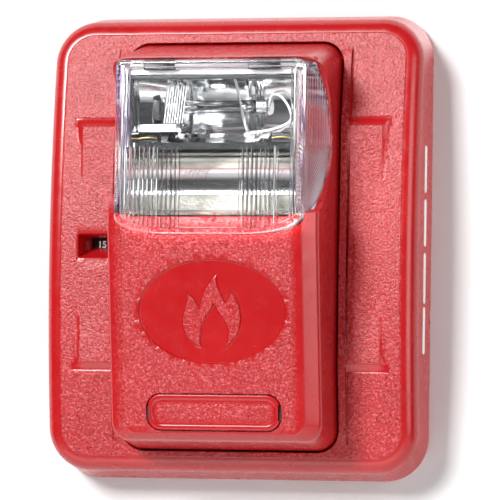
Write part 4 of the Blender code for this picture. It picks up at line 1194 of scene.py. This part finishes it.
def side_marks():
    """Four slim white bars inlaid along the right wall."""
    paint = moulded("white_inlay", (0.78, 0.78, 0.76), (0.88, 0.88, 0.86), (0.35, 0.5), 0.01)
    for index, (low, high) in enumerate(MARKS, start=1):
        points = outline(MARK_HALF_W, (low, high), 1.0, 6, spread(low + 1, high - 1, 2.0), ())
        middle, half = (low + high) / 2, (high - low) / 2
        rings = []
        for grow, x in ((0.0, 56.77), (0.0, 57.0), (-0.08, 57.04), (-0.2, 57.06)):
            scale = (1 + grow / MARK_HALF_W, 1 + grow / half)
            rings.append([(x, d, z) for d, z in resized(points, (0.0, middle), scale, (MARK_D, middle))])
        shell = Shell()
        shell.closed_tube(rings)
        wear(finish(shell.make(f"side_mark_{index}")), "white_plastic", "head", look=paint)


for make in (housing, cover, nameplate, lens, reflector, lamp, trims, digits, side_marks):
    make()


# ---------------------------------------------------------------- stage

STAGE_SIDE, STAGE_BACK, STAGE_AHEAD, STAGE_LOW, STAGE_HIGH = 1.6, 0.0015, -2.4, -0.8, 1.4
WORLD_LIT, WORLD_SEEN = 0.06, 0.76
# Name, place, width and height in metres, and watts
LIGHTS = (
    ("key", (-0.55, -1.25, 0.62), (0.42, 0.42), 25),
    ("fill", (1.3, -1.3, 0.15), (0.9, 1.3), 10),
    ("low_fill", (-0.2, -0.55, -0.74), (1.2, 0.4), 1.1),
    ("back_light", (0.5, 1.2, 0.8), (0.8, 0.8), 20),
)
AZIMUTH, ELEVATION, ROLL = (math.radians(v) for v in (13.94, -3.255, 0.913))
DISTANCE, SHIFT_RIGHT, SHIFT_UP, LENS_MM = 1.2517, 0.00108, -0.00056, 297.9


def area(name, place, size, power):
    """A lamp that looks at the origin."""
    data = bpy.data.lights.new(name, "AREA")
    data.shape = "RECTANGLE"
    data.size, data.size_y = size
    data.energy = power
    made = link(name, data)
    made.location = place
    made.rotation_mode = "QUATERNION"
    made.rotation_quaternion = (-Vector(place)).to_track_quat("-Z", "Y")


def sheet(name, corners, look, dark, light):
    look.colour(look.mix(look.noise(0.004, 3.0), dark, light))
    mesh = bpy.data.meshes.new(name)
    mesh.from_pydata(corners, [], [(0, 1, 2, 3)])
    mesh.materials.append(look.material)
    return link(name, mesh)


def stage():
    """Pale wall, see-through from behind, a pale floor, the world and the lamps."""
    side, back, low, high = STAGE_SIDE, STAGE_BACK, STAGE_LOW, STAGE_HIGH
    look = Look("pale_wall", Roughness=0.9, Specular_IOR_Level=0.1)
    corners = [(-side, back, low), (side, back, low), (side, back, high), (-side, back, high)]
    wall = sheet("backdrop_wall", corners, look, (0.80, 0.80, 0.80), (0.84, 0.84, 0.84))
    look.see_through(look.add("ShaderNodeNewGeometry").outputs["Backfacing"])
    wall.visible_shadow = False
    look = Look("pale_floor", Roughness=0.8, Specular_IOR_Level=0.2)
    corners = [(-side, STAGE_AHEAD, low), (side, STAGE_AHEAD, low), (side, back, low), (-side, back, low)]
    floor = sheet("floor", corners, look, (0.78, 0.78, 0.78), (0.84, 0.84, 0.84))
    world = bpy.data.worlds.new("studio")
    bpy.context.scene.world = world
    world.use_nodes = True
    tree = world.node_tree
    background = tree.nodes["Background"]
    background.inputs["Color"].default_value = (0.9, 0.92, 0.95, 1.0)
    # Dim for everything that it lights or is mirrored in, and pale where it is seen directly
    seen = tree.nodes.new("ShaderNodeLightPath").outputs["Is Camera Ray"]
    level = tree.nodes.new("ShaderNodeMath")
    level.operation = "MULTIPLY_ADD"
    level.inputs[1].default_value = WORLD_SEEN - WORLD_LIT
    level.inputs[2].default_value = WORLD_LIT
    tree.links.new(seen, level.inputs[0])
    tree.links.new(level.outputs["Value"], background.inputs["Strength"])
    for light in LIGHTS:
        area(*light)


def camera():
    az, el = AZIMUTH, ELEVATION
    back = Vector((math.sin(az) * math.cos(el), -math.cos(az) * math.cos(el), math.sin(el)))
    level = Vector((math.cos(az), math.sin(az), 0))
    plumb = back.cross(level)
    right = level * math.cos(ROLL) + plumb * math.sin(ROLL)
    up = plumb * math.cos(ROLL) - level * math.sin(ROLL)
    data = bpy.data.cameras.new("camera")
    data.lens, data.sensor_width = LENS_MM, 36.0
    data.clip_end = 20.0
    made = link("camera", data)
    place = Matrix.Translation(back * DISTANCE + right * SHIFT_RIGHT + up * SHIFT_UP)
    made.matrix_world = place @ Matrix((right, up, back)).transposed().to_4x4()
    bpy.context.scene.camera = made


stage()
camera()
bpy.context.scene.view_settings.view_transform = "Standard"
